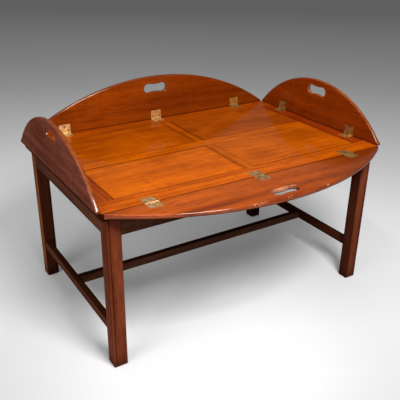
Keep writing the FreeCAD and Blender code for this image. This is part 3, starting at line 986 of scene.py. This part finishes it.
@dataclass
class HingePlan:
    """Where the ten hinges sit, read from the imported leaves."""

    reach: float = 0.029
    half_width: float = 0.018
    screws: Tuple[Pair, ...] = ((0.012, 0.0095), (-0.012, 0.0095), (0.0, 0.023))
    pin: float = 0.0015
    seam_dirt: Pair = (0.0042, 0.75)
    foot_dirt: Pair = (0.0045, 0.75)

    def spots(self, side: Side) -> List[float]:
        """Find one side's hinges along its edge.

        Args:
            side: the tray's side.

        Returns:
            Their middles.
        """
        axis = 1 - side.across
        marks = ("left", "middle", "right") if axis == 0 else ("front", "back")
        boxes = [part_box("hinge_%s_%s_tray_leaf" % (side.value, mark)) for mark in marks]
        return [(low[axis] + high[axis]) / 2 for low, high in boxes]

    def edge(self, side: Side) -> Tuple[int, float]:
        """Find the hinge line of a side.

        Args:
            side: the tray's side.

        Returns:
            Number of the axis across the side, and the line's place on it.
        """
        axis = side.across
        low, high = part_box("hinge_pins")
        return axis, low[axis] + self.pin if side in (Side.FRONT, Side.LEFT) else high[axis] - self.pin

    def tray_grime(self, side: Side) -> Tuple[Grime, ...]:
        """Dirt round the leaves let into the tray on one side, and along the joint.

        Args:
            side: the tray's side.

        Returns:
            The dirt lines.
        """
        across, place = self.edge(side)
        marks = [Grime((1 - across, across), (spot, place), (self.half_width, self.reach))
                 for spot in self.spots(side)]
        return (*marks, Grime.line(across, place, *self.seam_dirt))

    def flap_grime(self, side: Side, top: float) -> Tuple[Grime, ...]:
        """Dirt round the leaves let into one flap, and along its foot.

        Args:
            side: the flap's side.
            top: height of the tray's face.

        Returns:
            The dirt lines.
        """
        if side is Side.FRONT:
            return self.tray_grime(side)
        marks = [Grime((1 - side.across, 2), (spot, top), (self.half_width, self.reach))
                 for spot in self.spots(side)]
        return (*marks, Grime.line(2, top, *self.foot_dirt))


@dataclass
class Tray:
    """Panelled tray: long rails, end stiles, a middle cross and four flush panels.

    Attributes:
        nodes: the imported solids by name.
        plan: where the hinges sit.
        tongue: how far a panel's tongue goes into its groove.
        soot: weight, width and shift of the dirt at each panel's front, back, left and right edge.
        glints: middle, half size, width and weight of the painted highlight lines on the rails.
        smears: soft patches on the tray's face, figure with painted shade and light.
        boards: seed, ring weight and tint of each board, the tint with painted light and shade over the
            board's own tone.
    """

    nodes: Dict[str, Piece]
    plan: HingePlan
    tongue: float = 0.009
    soot: Dict[str, Tuple[Point, ...]] = field(default_factory=lambda: {
        "panel_front_left": ((0.2, 0.004, 0.0), (0.4, 0.009, -0.002), (0.5, 0.004, 0.0),
                             (0.45, 0.01, -0.004)),
        "panel_front_right": ((0.4, 0.006, 0.0), (0.08, 0.003, 0.0), (0.2, 0.003, 0.0), (0.25, 0.006, 0.004)),
        "panel_back_left": ((0.05, 0.003, 0.0), (0.3, 0.003, 0.0), (0.4, 0.003, 0.0), (0.3, 0.01, -0.004)),
        "panel_back_right": ((0.05, 0.003, 0.0), (0.25, 0.003, 0.0), (0.42, 0.009, 0.003),
                             (0.25, 0.006, 0.004))})
    glints: Tuple[Grime, ...] = tuple(Grime((0, 1), *row) for row in (
        ((-0.2, -0.254), (0.2, 0.0), 0.004, 0.3), ((0.2, -0.262), (0.19, 0.0), 0.005, 0.2),
        ((0.2, -0.237), (0.18, 0.0), 0.003, 0.15), ((-0.23, 0.252), (0.1, 0.0), 0.004, 0.3),
        ((0.19, 0.242), (0.16, 0.0), 0.005, 0.2), ((0.008, 0.14), (0.0, 0.12), 0.004, 0.3)))
    # Patches of figure with painted shade where the share is positive and painted light where it is negative.
    smears: Tuple[Smear, ...] = tuple(Smear(*row) for row in (
        ((-0.025, 0.06), (0.045, 0.05), 0.4), ((0.042, 0.12), (0.035, 0.035), 0.5),
        ((-0.085, 0.205), (0.07, 0.03), 0.3), ((-0.145, -0.045), (0.13, 0.035), 0.25),
        ((-0.155, -0.13), (0.09, 0.025), 0.25), ((0.095, -0.17), (0.06, 0.035), 0.25),
        ((0.345, 0.04), (0.09, 0.06), 0.35), ((-0.29, 0.08), (0.06, 0.045), 0.25),
        ((-0.04, -0.06), (0.022, 0.022), -0.35), ((0.3, -0.07), (0.14, 0.08), 0.3),
        ((-0.11, -0.15), (0.1, 0.07), 0.25), ((0.22, -0.245), (0.2, 0.035), 0.2),
        ((-0.345, -0.18), (0.09, 0.07), -0.3)))
    # Painted light and shade in the tints: lighter towards the front left, darker towards the back right and
    # on the stiles beside the raised flaps.
    boards: Dict[str, Tuple[float, float, str]] = field(default_factory=lambda: {
        "panel_front_left": (3.1, 0.3, "c85c03"), "panel_front_right": (8.7, 0.25, "bc5604"),
        "panel_back_left": (14.9, 0.25, "b65202"), "panel_back_right": (21.4, 0.3, "a84a06"),
        "rail_front": (27.2, 0.3, "bb5304"), "rail_back": (33.6, 0.3, "ac4a02"),
        "rail_centre": (39.5, 0.3, "c05802"), "stile_left": (45.8, 0.3, "963c04"),
        "stile_right": (52.1, 0.3, "923204"), "muntin_front": (58.3, 0.3, "c05a02"),
        "muntin_back": (64.7, 0.3, "aa4a02"), "batten_left": (70.2, 0.2, "8a3c0c"),
        "batten_right": (76.9, 0.2, "8a3c0c")})

    def panel_lines(self, label: str) -> Tuple[Grime, ...]:
        """Dirt along the four edges of one panel.

        Args:
            label: the panel.

        Returns:
            The front, back, left and right lines.
        """
        low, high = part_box(label)
        first = low.x + self.tongue, low.y + self.tongue
        last = high.x - self.tongue, high.y - self.tongue
        lines = []
        for (weight, width, shift), axis, place in zip(self.soot[label], (1, 1, 0, 0),
                                                       (first[1], last[1], first[0], last[0])):
            middle = [(a + b) / 2 for a, b in zip(first, last)]
            half = [(b - a) / 2 for a, b in zip(first, last)]
            middle[axis], half[axis] = place + shift, 0.0
            lines.append(Grime((0, 1), tuple(middle), tuple(half), width, weight))
        return tuple(lines)

    def dirt(self) -> Dict[str, Tuple[Grime, ...]]:
        """Gather the dirt lines of every board.

        Returns:
            For each board the lines of the panels that it meets and of its hinges.
        """
        fl, fr, bl, br = [self.panel_lines(label) for label in self.soot]
        front, back, left, right = [self.plan.tray_grime(side) for side in Side]
        return {"panel_front_left": fl, "panel_front_right": fr, "panel_back_left": bl,
                "panel_back_right": br, "rail_front": fl[:1] + fr[:1] + front,
                "rail_back": bl[1:2] + br[1:2] + back,
                "rail_centre": fl[1:2] + fr[1:2] + bl[:1] + br[:1],
                "stile_left": fl[2:3] + bl[2:3] + left, "stile_right": fr[3:] + br[3:] + right,
                "muntin_front": fl[3:] + fr[2:3], "muntin_back": bl[3:] + br[2:3]}

    def dress(self) -> None:
        """Give each board its own figure and tone."""
        dirt = self.dirt()
        for label, (seed, cathedral, tint) in self.boards.items():
            panel = label.startswith("panel")
            grain = Grain.LENGTH if panel or label.startswith("rail") else Grain.DEPTH
            finish = Mahogany("tray_" + label, grain, seed, tint, cathedral=cathedral,
                              grime=dirt.get(label, ()), stripe=0.2 if panel else 0.35, depth=1.2, coat=0.5,
                              face=(0, 0, 1), smears=self.smears, glints=() if panel else self.glints,
                              sunk=None if label.startswith("batten") else tray_top())
            dress_node(self.nodes[label], finish.material())
            LOG.info("tray board %s", label)


@dataclass
class Flaps:
    """The four arc flaps with round edges and hand holes, and a dark thread in each joint that paints the
    shade there.
    """

    plan: HingePlan
    thick: float = 0.012
    sink: float = 0.00005
    joint: float = 0.00002
    ease: Pair = (0.0002, 0.0006)
    shoulder: float = 0.0052
    edge: float = 0.0046
    taper_run: float = 0.012
    lip: float = 0.0008
    grip: float = 0.003
    wax_radius: float = 0.0001
    wax_smooth: float = 70.0
    wax_tint: str = "2a1006"
    wax_seed: float = 5.0
    seeds: Pair = (81.7, 6.3)
    hole_inset: Pair = (0.0385, 0.035)
    lobe: float = 0.0147
    lobe_reach: float = 0.0252
    waist: float = 0.1087
    # Face, edge and hidden-face tones of each flap, one wood matched side by side to how it is lit: painted
    # light and shade; the left flap's greyer outer tone also paints a sheen.
    tints: Dict[Side, Tones] = field(default_factory=lambda: {
        Side.FRONT: ("a84a0c", "96441e", "763826"), Side.BACK: ("8e3a04", "8a4420", "763826"),
        Side.LEFT: ("94400e", "8c4418", "8e5040"), Side.RIGHT: ("883404", "9a5024", "763826")})
    # Painted shade: each flap darkens towards one end, following how the light falls across it.
    fades: Dict[Side, Tuple[Fade, ...]] = field(default_factory=lambda: {
        Side.FRONT: (Fade(0, -0.05, 0.38, 0.7),), Side.BACK: (Fade(0, -0.35, 0.2, 0.3),),
        Side.RIGHT: (Fade(1, 0.1, -0.3, 0.35),)})
    wear: Dict[Side, Tuple[Wear, ...]] = field(default_factory=lambda: {
        Side.FRONT: (Wear((-0.105, -0.416, 0.449), (0.035, 0.009, 0.006), 0.52),
                     Wear((-0.013, -0.4235, 0.449), (0.011, 0.007, 0.006), 0.5),
                     Wear((0.115, -0.4145, 0.449), (0.007, 0.006, 0.005), 0.48),
                     # The two spots below are painted highlights on the lit far edge of the hand hole; the
                     # three above are chips along the rim.
                     Wear((0.034, -0.3765, 0.449), (0.013, 0.006, 0.005), 0.52),
                     Wear((0.0, -0.373, 0.447), (0.045, 0.006, 0.008), 0.36))})

    # Points along the arc, along the chord and round the hole, and a length or slope too small to matter
    BOW, CHORD, ROUND, TINY = 220, 160, 120, 1e-6
    # Points round a rounded edge, sides of the dark thread of painted shade and points along it
    EDGE_POINTS, WAX_SIDES, WAX_POINTS = 7, 6, 5
    # Upper bound of the hole's radius, and how often it is halved
    HOLE_BOUND, HALVINGS = 0.06, 40

    @staticmethod
    def frame(side: Side) -> np.ndarray:
        """Directions of a flap at rest.

        Args:
            side: the flap's side.

        Returns:
            Rows that point along the hinge, away from the hinge and out of the flap's face.
        """
        inward = {Side.BACK: (0, -1, 0), Side.LEFT: (1, 0, 0), Side.RIGHT: (-1, 0, 0)}
        away = np.array((0, -1, 0) if side is Side.FRONT else (0, 0, 1), float)
        face = np.array(inward.get(side, (0, 0, 1)), float)
        return np.stack([np.cross(away, face), away, face])

    def hole_radius(self, turn: np.ndarray) -> np.ndarray:
        """Distance from the hand hole's middle to its edge at each angle.

        The hole is two discs joined by a waist between two arcs that touch them; halving steps find
        where each ray leaves it.

        Args:
            turn: angles from the direction along the hinge.

        Returns:
            The distances.
        """
        gap = self.lobe + self.waist
        deep = np.sqrt(gap ** 2 - self.lobe_reach ** 2)
        touch = self.lobe_reach * self.waist / gap
        low, high = np.zeros_like(turn), np.full_like(turn, self.HOLE_BOUND)
        for _ in range(self.HALVINGS):
            mid = (low + high) / 2
            s, d = np.abs(mid * np.cos(turn)), np.abs(mid * np.sin(turn))
            disc = np.hypot(s - self.lobe_reach, d) < self.lobe
            neck = (s < touch) & (d < deep - np.sqrt(np.maximum(self.waist ** 2 - s ** 2, 0)))
            low, high = np.where(disc | neck, mid, low), np.where(disc | neck, high, mid)
        return low

    def rim(self, reach: float, rise: float, hole_rise: float) -> Tuple[
            Callable[[float, float], np.ndarray], np.ndarray, np.ndarray, np.ndarray]:
        """Matching points on a flap's outline and on its hand hole.

        The outline is a chord with two short ends under an arc through them and the crown. Every
        angle round the hole's middle gives one outline point, the nearest crossing of its ray, and
        one hole point.

        Args:
            reach: half the flap's length.
            rise: height of the crown above the hinge line.
            hole_rise: height of the hand hole's middle above the hinge line.

        Returns:
            A function that gives the outline drawn in by a share of its rounding and a fixed step, the
            hole points, their outward directions, and the rounding of the outline's edge.
        """
        drop = rise - self.shoulder
        radius = (reach ** 2 + drop ** 2) / (2 * drop)
        centre = np.array([0.0, rise - radius])
        heart = np.array([0.0, hole_rise])
        span = np.arcsin(reach / radius)
        bow = np.linspace(-span, span, self.BOW)
        marks = np.concatenate([
            np.stack([radius * np.sin(bow), centre[1] + radius * np.cos(bow)], -1),
            np.stack([np.linspace(-reach, reach, self.CHORD), np.full(self.CHORD, self.joint)], -1)]) - heart
        even = np.linspace(-np.pi, np.pi, self.ROUND)[:-1]
        turn = np.unique(np.round(np.concatenate([np.arctan2(marks[:, 1], marks[:, 0]), even]), 6))
        ray = np.stack([np.cos(turn), np.sin(turn)], -1)
        q = heart - centre
        along = ray @ q

        def crossings(arc: Any, chord: float, end: float) -> np.ndarray:
            """Distances on every ray to the parts of the outline, each drawn in by its own step.

            Args:
                arc, chord, end: how far the arc, the chord and the ends are drawn in.

            Returns:
                Rows for the arc, the chord and the ends.
            """
            to_arc = -along + np.sqrt(along ** 2 - q @ q + (radius - arc) ** 2)
            down = np.minimum(ray[:, 1], -self.TINY)
            to_chord = np.where(ray[:, 1] < -self.TINY, (self.joint + chord - heart[1]) / down, FAR)
            return np.stack([to_arc, to_chord, (reach - end) / np.maximum(np.abs(ray[:, 0]), self.TINY)])

        first = crossings(0.0, 0.0, 0.0)
        height = hole_rise + first.min(axis=0) * ray[:, 1]
        taper = np.clip((height - self.shoulder) / self.taper_run, 0.0, 1.0)
        bowed = self.ease[1] + (self.edge - self.ease[1]) * taper ** 0.5
        rounding = np.choose(first.argmin(axis=0), [bowed, self.ease[0], self.ease[1]])

        def ring(share: float, more: float) -> np.ndarray:
            """Outline drawn in by a share of its rounding and a fixed step."""
            steps = [rounded * share + more for rounded in (bowed, *self.ease)]
            return heart + crossings(*steps).min(axis=0)[:, None] * ray

        hole = heart + self.hole_radius(turn)[:, None] * ray
        step = np.roll(hole, -1, axis=0) - np.roll(hole, 1, axis=0)
        away = np.stack([step[:, 1], -step[:, 0]], -1) / np.linalg.norm(step, axis=1)[:, None]
        return ring, hole, away, rounding

    def board(self, side: Side) -> Piece:
        """Build one flap as a ring-shaped surface from its hand hole out to its rim and back.

        A section runs from the hole's wall over its rounded edge, across the face, round the rim,
        back under the board and up the wall. Its point is the hole's or the outline's point moved
        sideways by a share of the rounding and set at a depth below the face.

        Args:
            side: the tray's side that carries the flap.

        Returns:
            The flap, in place of its plain solid.
        """
        label = "flap_" + side.value
        frame = self.frame(side)
        low, high = (np.array(corner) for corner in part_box(label))
        reach = np.abs(frame[0]) @ (high - low) / 2
        across, line = self.plan.edge(side)
        top = tray_top()
        rise = np.abs(line - low[1]) if side is Side.FRONT else high[2] - top
        inset = self.hole_inset[1 - side.across]
        ring, hole, away, rounding = self.rim(reach, rise, rise - inset)
        swing = np.linspace(0.0, np.pi / 2, self.EDGE_POINTS)
        soft, bend = 1 - np.cos(swing), 1 - np.sin(swing)
        thick, grip = self.thick - self.sink, self.grip
        hole_part = [(grip * s, -grip * b) for s, b in zip(soft, bend)] + [(grip + self.lip, 0.0)]
        sections = [hole + away * side_step for side_step, _ in hole_part]
        depths = [np.full(len(hole), depth) for _, depth in hole_part]
        rim_part = [(1.0, 0.0, self.lip)] + [(b, -s, 0.0) for s, b in zip(soft, bend)]
        for share, depth, more in rim_part:
            sections.append(ring(share, more))
            depths.append(rounding * depth)
        for share, depth, more in rim_part[::-1]:
            sections.append(ring(share, more))
            depths.append(-thick - rounding * depth)
        for side_step, depth in hole_part[::-1]:
            sections.append(hole + away * side_step)
            depths.append(np.full(len(hole), -thick - depth))
        flat, depth = np.stack(sections, axis=1), np.stack(depths, axis=1) - self.sink
        origin = np.zeros(3)
        origin[across], origin[2] = line, top
        points = origin + flat[..., :1] * frame[0] + flat[..., 1:] * frame[1] + depth[..., None] * frame[2]
        rows, columns = depth.shape
        faces = Surfaces.strip_faces(rows + 1, columns, True) % (rows * columns)
        made = Surfaces.piece(label + "_board", points, faces.tolist(), SMOOTH)
        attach(made, label + "_body")
        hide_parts(label)
        return made

    def wax(self, side: Side, dark: bpy.types.Material) -> None:
        """Lay a thin dark thread on a hinge line: a dark piece that paints the joint's shade, so that no
        light shows through the joint.

        The thread is a small hexagon carried along the line.

        Args:
            side: the flap's side.
            dark: the thread's dark finish.
        """
        across, line = self.plan.edge(side)
        low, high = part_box("flap_" + side.value)
        along = 1 - across
        ring = np.linspace(0.0, 2 * np.pi, self.WAX_SIDES + 1)[:-1]
        profile = self.wax_radius * np.stack([np.cos(ring), np.sin(ring)], -1)
        stations = np.linspace(low[along], high[along], self.WAX_POINTS)
        origin = np.zeros(3)
        origin[across], origin[2] = line, tray_top()
        frame = np.eye(3)[[0, 1, 2] if along == 0 else [1, 2, 0]]
        made = Surfaces.sweep("joint_wax_" + side.value, profile, stations, np.zeros_like(stations),
                              frame, origin, self.wax_smooth)
        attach(made, "tray")
        made.data.materials.append(dark)

    def dress(self) -> None:
        """Build each flap and give it its figure; the fibres follow its hinge line."""
        dark = Mahogany("joint_wax", Grain.LENGTH, self.wax_seed, self.wax_tint, coat=0.0).material()
        for index, side in enumerate(Side):
            front, (tint, rim_tint, under_tint) = side is Side.FRONT, self.tints[side]
            grain = Grain.LENGTH if side.across else Grain.DEPTH
            seed = self.seeds[0] + self.seeds[1] * index
            finish = Mahogany("flap_wood_" + side.value, grain, seed, tint, depth=1.3,
                              cathedral=0.4, coat=0.9, gloss=0.12, stripe=1.0 if front else 0.7,
                              grime=self.plan.flap_grime(side, tray_top()), wear=self.wear.get(side, ()),
                              fades=self.fades.get(side, ()), face=tuple(self.frame(side)[2]),
                              rim_tint=rim_tint, under_tint=under_tint, bare=-0.35 if front else -0.95)
            self.board(side).data.materials.append(finish.material())
            self.wax(side, dark)
            LOG.info("flap %s", side.value)


@dataclass
class Hinges:
    """Brass leaves, pins and screws, with steel springs."""

    nodes: Dict[str, Piece]
    plan: HingePlan
    radius: float = 0.0032
    dull: Tones = ("b98a52", "92662e", "4e3214")
    # Tones of each listed leaf, matched leaf by leaf to how it is lit: lit and shaded copies of one brass,
    # painted light and shade; the others take the dull tones.
    tones: Dict[str, Tones] = field(default_factory=lambda: {
        "back_left_flap": ("ffdfa0", "f0ba74", "a06c36"), "back_left_tray": ("d5aa6a", "c08c4b", "815122"),
        "back_middle_flap": ("f0bc78", "d09651", "774d20"),
        "back_middle_tray": ("e2aa6a", "c48848", "70461b"),
        "back_right_flap": ("daa64a", "ad7c28", "5d3e12"), "right_front_tray": ("dc9a4e", "ae722c", "5f3913"),
        "front_left_flap": ("dcae7c", "c28f58", "704822"), "front_left_tray": ("dcae7c", "c28f58", "704822"),
        "front_middle_flap": ("c4966a", "a47748", "58381a"),
        "front_middle_tray": ("c4966a", "a47748", "58381a")})
    slot: float = 0.0005
    slot_depth: float = 0.0009
    slot_turn: float = 2.399
    slot_wall: float = 1.06
    slot_land: float = 1.4
    head_points: int = 9
    proud: float = 2e-5
    head_smooth: float = 30.0
    seam_dirt: float = 0.0022
    screw_tones: Tones = ("c89a55", "8f6a36", "3a2810")

    def head_grid(self) -> Tuple[np.ndarray, np.ndarray]:
        """Surface of one slotted head of unit pose.

        A point at parameters u and v from -1 to 1 is x = R u, y = R v sqrt(1 - u u), with z = 0, and
        z = -depth between the two slot walls, where |x| is under the slot's half width.

        Returns:
            Points as a grid of rows, and the quads between them.
        """
        lip = self.slot / self.radius
        round_part = np.sin(np.linspace(lip * self.slot_land, np.pi / 2, self.head_points))
        right = np.concatenate([[lip, lip * self.slot_wall], round_part])
        u = np.concatenate([-right[::-1], right])
        sunk = np.where(np.abs(u) < lip * (1 + self.slot_wall) / 2, -self.slot_depth, 0.0)
        across, along = np.meshgrid(u, np.linspace(-1.0, 1.0, self.head_points), indexing="ij")
        chord = np.sqrt(np.maximum(1 - across ** 2, 0))
        points = np.stack([self.radius * across, self.radius * along * chord,
                           np.broadcast_to(sunk[:, None], across.shape)], axis=-1)
        return points, Surfaces.strip_faces(*points.shape[:2], False)[:, ::-1]

    def screw_heads(self, label: str, poses: np.ndarray, body: str) -> None:
        """Set slotted heads at a list of poses, as one piece in place of the plain screws.

        Each head is turned about its own axis, by one slot turn more than the last, and then laid on
        the frame of its pose.

        Args:
            label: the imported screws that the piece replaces.
            poses: for each screw a row of place and the three directions of its frame.
            body: the body that the screws ride on.
        """
        grid, quads = self.head_grid()
        flat = grid.reshape(-1, 3)
        turn = np.arange(len(poses)) * self.slot_turn
        c, s = np.cos(turn)[:, None], np.sin(turn)[:, None]
        x = c * flat[None, :, 0] - s * flat[None, :, 1]
        y = s * flat[None, :, 0] + c * flat[None, :, 1]
        z = np.broadcast_to(flat[None, :, 2], x.shape)
        local = np.stack([x, y, z], axis=-1)
        points = poses[:, 0][:, None, :] + np.einsum("nkc,ncd->nkd", local, poses[:, 1:])
        faces = (quads[None] + (np.arange(len(poses)) * len(flat))[:, None, None]).reshape(-1, 4)
        piece = Surfaces.piece(label + "_slotted", points, faces.tolist(), self.head_smooth)
        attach(piece, body)
        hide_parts(label)
        piece.data.materials.append(Brass("screw_brass", *self.screw_tones).material())
        LOG.info("screws %s: %d heads", label, len(poses))

    def screw_poses(self, side: Side, raised: bool, top: float, inward: bool) -> List[np.ndarray]:
        """Places and frames of the screws of one side's leaves.

        Args:
            side: the tray's side.
            raised: whether the leaves stand upright.
            top: height of the tray's face.
            inward: tray leaves when true, flap leaves when false.

        Returns:
            For each screw four rows: place, two directions in the leaf and the leaf's normal.
        """
        across, line = self.plan.edge(side)
        out = np.zeros(3)
        out[across] = np.sign(line)
        up = np.array([0.0, 0.0, 1.0])
        run = np.cross(out, up)
        reach, normal = (-out, up) if inward else ((up, -out) if raised else (out, up))
        poses = []
        for spot in self.plan.spots(side):
            base = np.array([0.0, 0.0, top])
            base[across], base[1 - across] = line, spot
            for shift, far in self.plan.screws:
                poses.append(np.stack([base + run * shift + reach * far + normal * self.proud,
                                       np.cross(reach, normal), reach, normal]))
        return poses

    def dress(self) -> None:
        """Finish every brass and steel piece and set slotted screws."""
        top = tray_top()
        dress_node(self.nodes["hinge_pins"], Brass("pin_brass").material())
        for side in Side:
            seam = Grime.line(*self.plan.edge(side), self.seam_dirt)
            risen = seam if side is Side.FRONT else Grime.line(2, top, self.seam_dirt)
            for label in sorted(self.nodes):
                if label.startswith("hinge_%s_" % side.value) and label.endswith("_leaf"):
                    tones = self.tones.get(label[len("hinge_"):-len("_leaf")], self.dull)
                    dirt = (seam if "_tray_" in label else risen,)
                    dress_node(self.nodes[label], Brass(label + "_brass", *tones, dirt).material())
        dress_node(self.nodes["hinge_springs"], SpringSteel().material())
        tray: List[np.ndarray] = []
        for side in Side:
            tray += self.screw_poses(side, False, top, True)
            flap = np.array(self.screw_poses(side, side is not Side.FRONT, top, False))
            self.screw_heads(side.value + "_flap_screws", flap, "flap_%s_body" % side.value)
        self.screw_heads("tray_hinge_screws", np.array(tray), "tray")
        LOG.info("hinges dressed")


def dress_node(node: Piece, material: bpy.types.Material) -> None:
    """Put a material on a node of the frame in place of its plain one.

    Args:
        node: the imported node.
        material: its finish.
    """
    if not node.material_slots:
        node.data.materials.append(material)
    for held in node.material_slots:
        held.material = material


@dataclass
class Studio:
    """Pale floor, soft lamps and the camera.

    Attributes:
        eye: where the camera stands.
        ahead: the way it looks.
        above: the way up in its picture.
        lens: focal length in millimetres.
        sensor: width of its picture in millimetres.
        clip: how far it sees.
        floor_reach: half the floor's size.
        floor_points: points along each side of it.
        floor_ways: directions on the floor away from the camera and aside.
        depth: where the floor's shades start, behind the middle, and the run that they cover.
        seen: stops of the floor's shade as it is seen.
        cast: stops of the shade that it lights the object with.
        glow: stops of its own faint glow, which keeps the shadow from going black.
        wing: distances aside between which the near floor darkens, and how much.
        near: shares of the run between which that darkening comes in.
        sky: stops of the surround, from level to overhead.
        horizon: the surround's shade where it is seen.
    """

    eye: Point = (-0.8758, -1.3702, 1.0332)
    ahead: Point = (0.48631, 0.76224, -0.42719)
    above: Point = (0.21726, 0.36806, 0.90406)
    lens: float = 52.34
    sensor: float = 36.0
    clip: float = 200.0
    floor_reach: float = 30.0
    floor_points: int = 9
    floor_ways: Tuple[Point, Point] = ((0.5322, 0.8466, 0.0), (0.8466, -0.5322, 0.0))
    depth: Pair = (0.6, 7.0)
    seen: Tuple[Pair, ...] = (
        (0.0, 0.82), (0.019, 0.9), (0.045, 0.97), (0.08, 0.96), (0.15, 0.97), (0.2, 0.93), (0.25, 0.87),
        (0.32, 0.8), (0.42, 0.69), (0.56, 0.59), (0.69, 0.53), (0.88, 0.43), (1.0, 0.37))
    cast: Tuple[Pair, ...] = ((0.0, 0.4), (0.05, 0.3), (0.12, 0.15), (0.3, 0.1), (1.0, 0.1))
    glow: Tuple[Pair, ...] = ((0.0, 0.0), (0.05, 0.05), (0.12, 0.1), (0.25, 0.09), (0.42, 0.06), (1.0, 0.04))
    wing: Point = (0.1, 0.54, 0.2)
    near: Pair = (0.16, 0.02)
    sky: Tuple[Tuple[float, Point], ...] = (
        (0.0, (0.03, 0.03, 0.032)), (0.4, (0.08, 0.08, 0.083)), (1.0, (0.32, 0.32, 0.32)))
    horizon: Point = (0.122, 0.122, 0.124)

    def floor(self) -> None:
        """Lay a wide floor, a flat grid at height 0, white in front and greyer behind the table."""
        span = np.linspace(-self.floor_reach, self.floor_reach, self.floor_points)
        across, deep = np.meshgrid(span, span, indexing="ij")
        points = np.stack([across, deep, np.zeros_like(across)], axis=-1)
        faces = Surfaces.strip_faces(len(span), len(span), False)[:, ::-1].tolist()
        made = Surfaces.piece("studio_floor", points, faces)
        bench = NodeBench(bpy.data.materials.new("studio_floor_paint"))
        ahead, aside = [bench.vector("DOT_PRODUCT", bench.place(), way) for way in self.floor_ways]
        far = bench.math("DIVIDE", bench.math("ADD", ahead, self.depth[0]), self.depth[1], clamp=True)
        pale, dim, haze = [bench.ramp(far, [(where, (grey, grey, grey)) for where, grey in stops])
                           for stops in (self.seen, self.cast, self.glow)]
        start, end, share = self.wing
        wing = bench.step(bench.math("ABSOLUTE", aside), start, end)
        darker = bench.times(bench.times(wing, bench.step(far, *self.near)), share)
        watched = bench.watched()
        bench.feed(bench.shader, {
            "Base Color": bench.mix(watched, dim, bench.mix(darker, pale, (0.0, 0.0, 0.0))),
            "Emission Color": haze, "Emission Strength": watched, "Roughness": 0.8,
            "Specular IOR Level": 0.1})
        made.data.materials.append(bench.owner)

    def world(self) -> None:
        """Dim surround, brighter overhead; seen or mirrored it is as grey as the far floor."""
        bench = NodeBench(bpy.data.worlds.new("studio_surround"), "Background")
        bpy.context.scene.world = bench.owner
        height = bench.axes(bench.node("ShaderNodeTexCoord").outputs["Generated"])[2]
        shade = bench.mix(bench.watched(), bench.ramp(height, self.sky), self.horizon)
        bench.feed(bench.shader, {"Color": shade, "Strength": 1.0})

    def lamp(self, name: str, place: Point, aim: Point, size: Pair, watts: float) -> None:
        """Hang one soft rectangular lamp.

        Args:
            name: the lamp's name.
            place: where it hangs.
            aim: the point that it faces.
            size: its two sides.
            watts: its power.
        """
        data = bpy.data.lights.new(name, "AREA")
        data.shape = "RECTANGLE"
        data.size, data.size_y = size
        data.energy = watts
        made = bpy.data.objects.new(name, data)
        made.location = place
        made.rotation_euler = (Vector(aim) - Vector(place)).to_track_quat("-Z", "Y").to_euler()
        bpy.context.scene.collection.objects.link(made)

    def lamps(self) -> None:
        """One large soft lamp over the front, a weaker one on the left and a long strip overhead."""
        self.lamp("soft_box", (-0.15, -1.3, 1.75), (0.0, 0.0, 0.4), (0.6, 0.6), 35.0)
        self.lamp("top_strip", (-0.55, -0.55, 2.2), (-0.5, 0.0, 0.4), (0.06, 1.4), 6.5)
        self.lamp("left_fill", (-1.9, -0.7, 1.3), (-0.4, 0.0, 0.4), (1.0, 1.0), 14.0)

    def camera(self) -> None:
        """Set the camera at the photograph's place, looking the same way."""
        data = bpy.data.cameras.new("photo_camera")
        data.sensor_width = self.sensor
        data.lens = self.lens
        data.clip_end = self.clip
        made = bpy.data.objects.new("photo_camera", data)
        bpy.context.scene.collection.objects.link(made)
        ahead = Vector(self.ahead).normalized()
        right = ahead.cross(Vector(self.above)).normalized()
        above = right.cross(ahead)
        turn = Matrix((right, above, -ahead)).transposed().to_4x4()
        made.matrix_world = Matrix.Translation(Vector(self.eye)) @ turn
        bpy.context.scene.camera = made

    def build(self) -> None:
        """Set up the whole studio."""
        self.camera()
        self.floor()
        self.world()
        self.lamps()
        bpy.context.scene.view_settings.view_transform = "Standard"


def main() -> None:
    """Load the frame, dress every piece and set the studio round it."""
    logging.basicConfig(level=logging.INFO, format="%(message)s")
    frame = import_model()
    nodes = frame["nodes"]
    Studio().build()
    stand = Stand()
    stand.legs()
    stand.boards()
    stand.dress()
    plan = HingePlan()
    Tray(nodes, plan).dress()
    Flaps(plan).dress()
    Hinges(nodes, plan).dress()


if __name__ == "__main__":
    main()
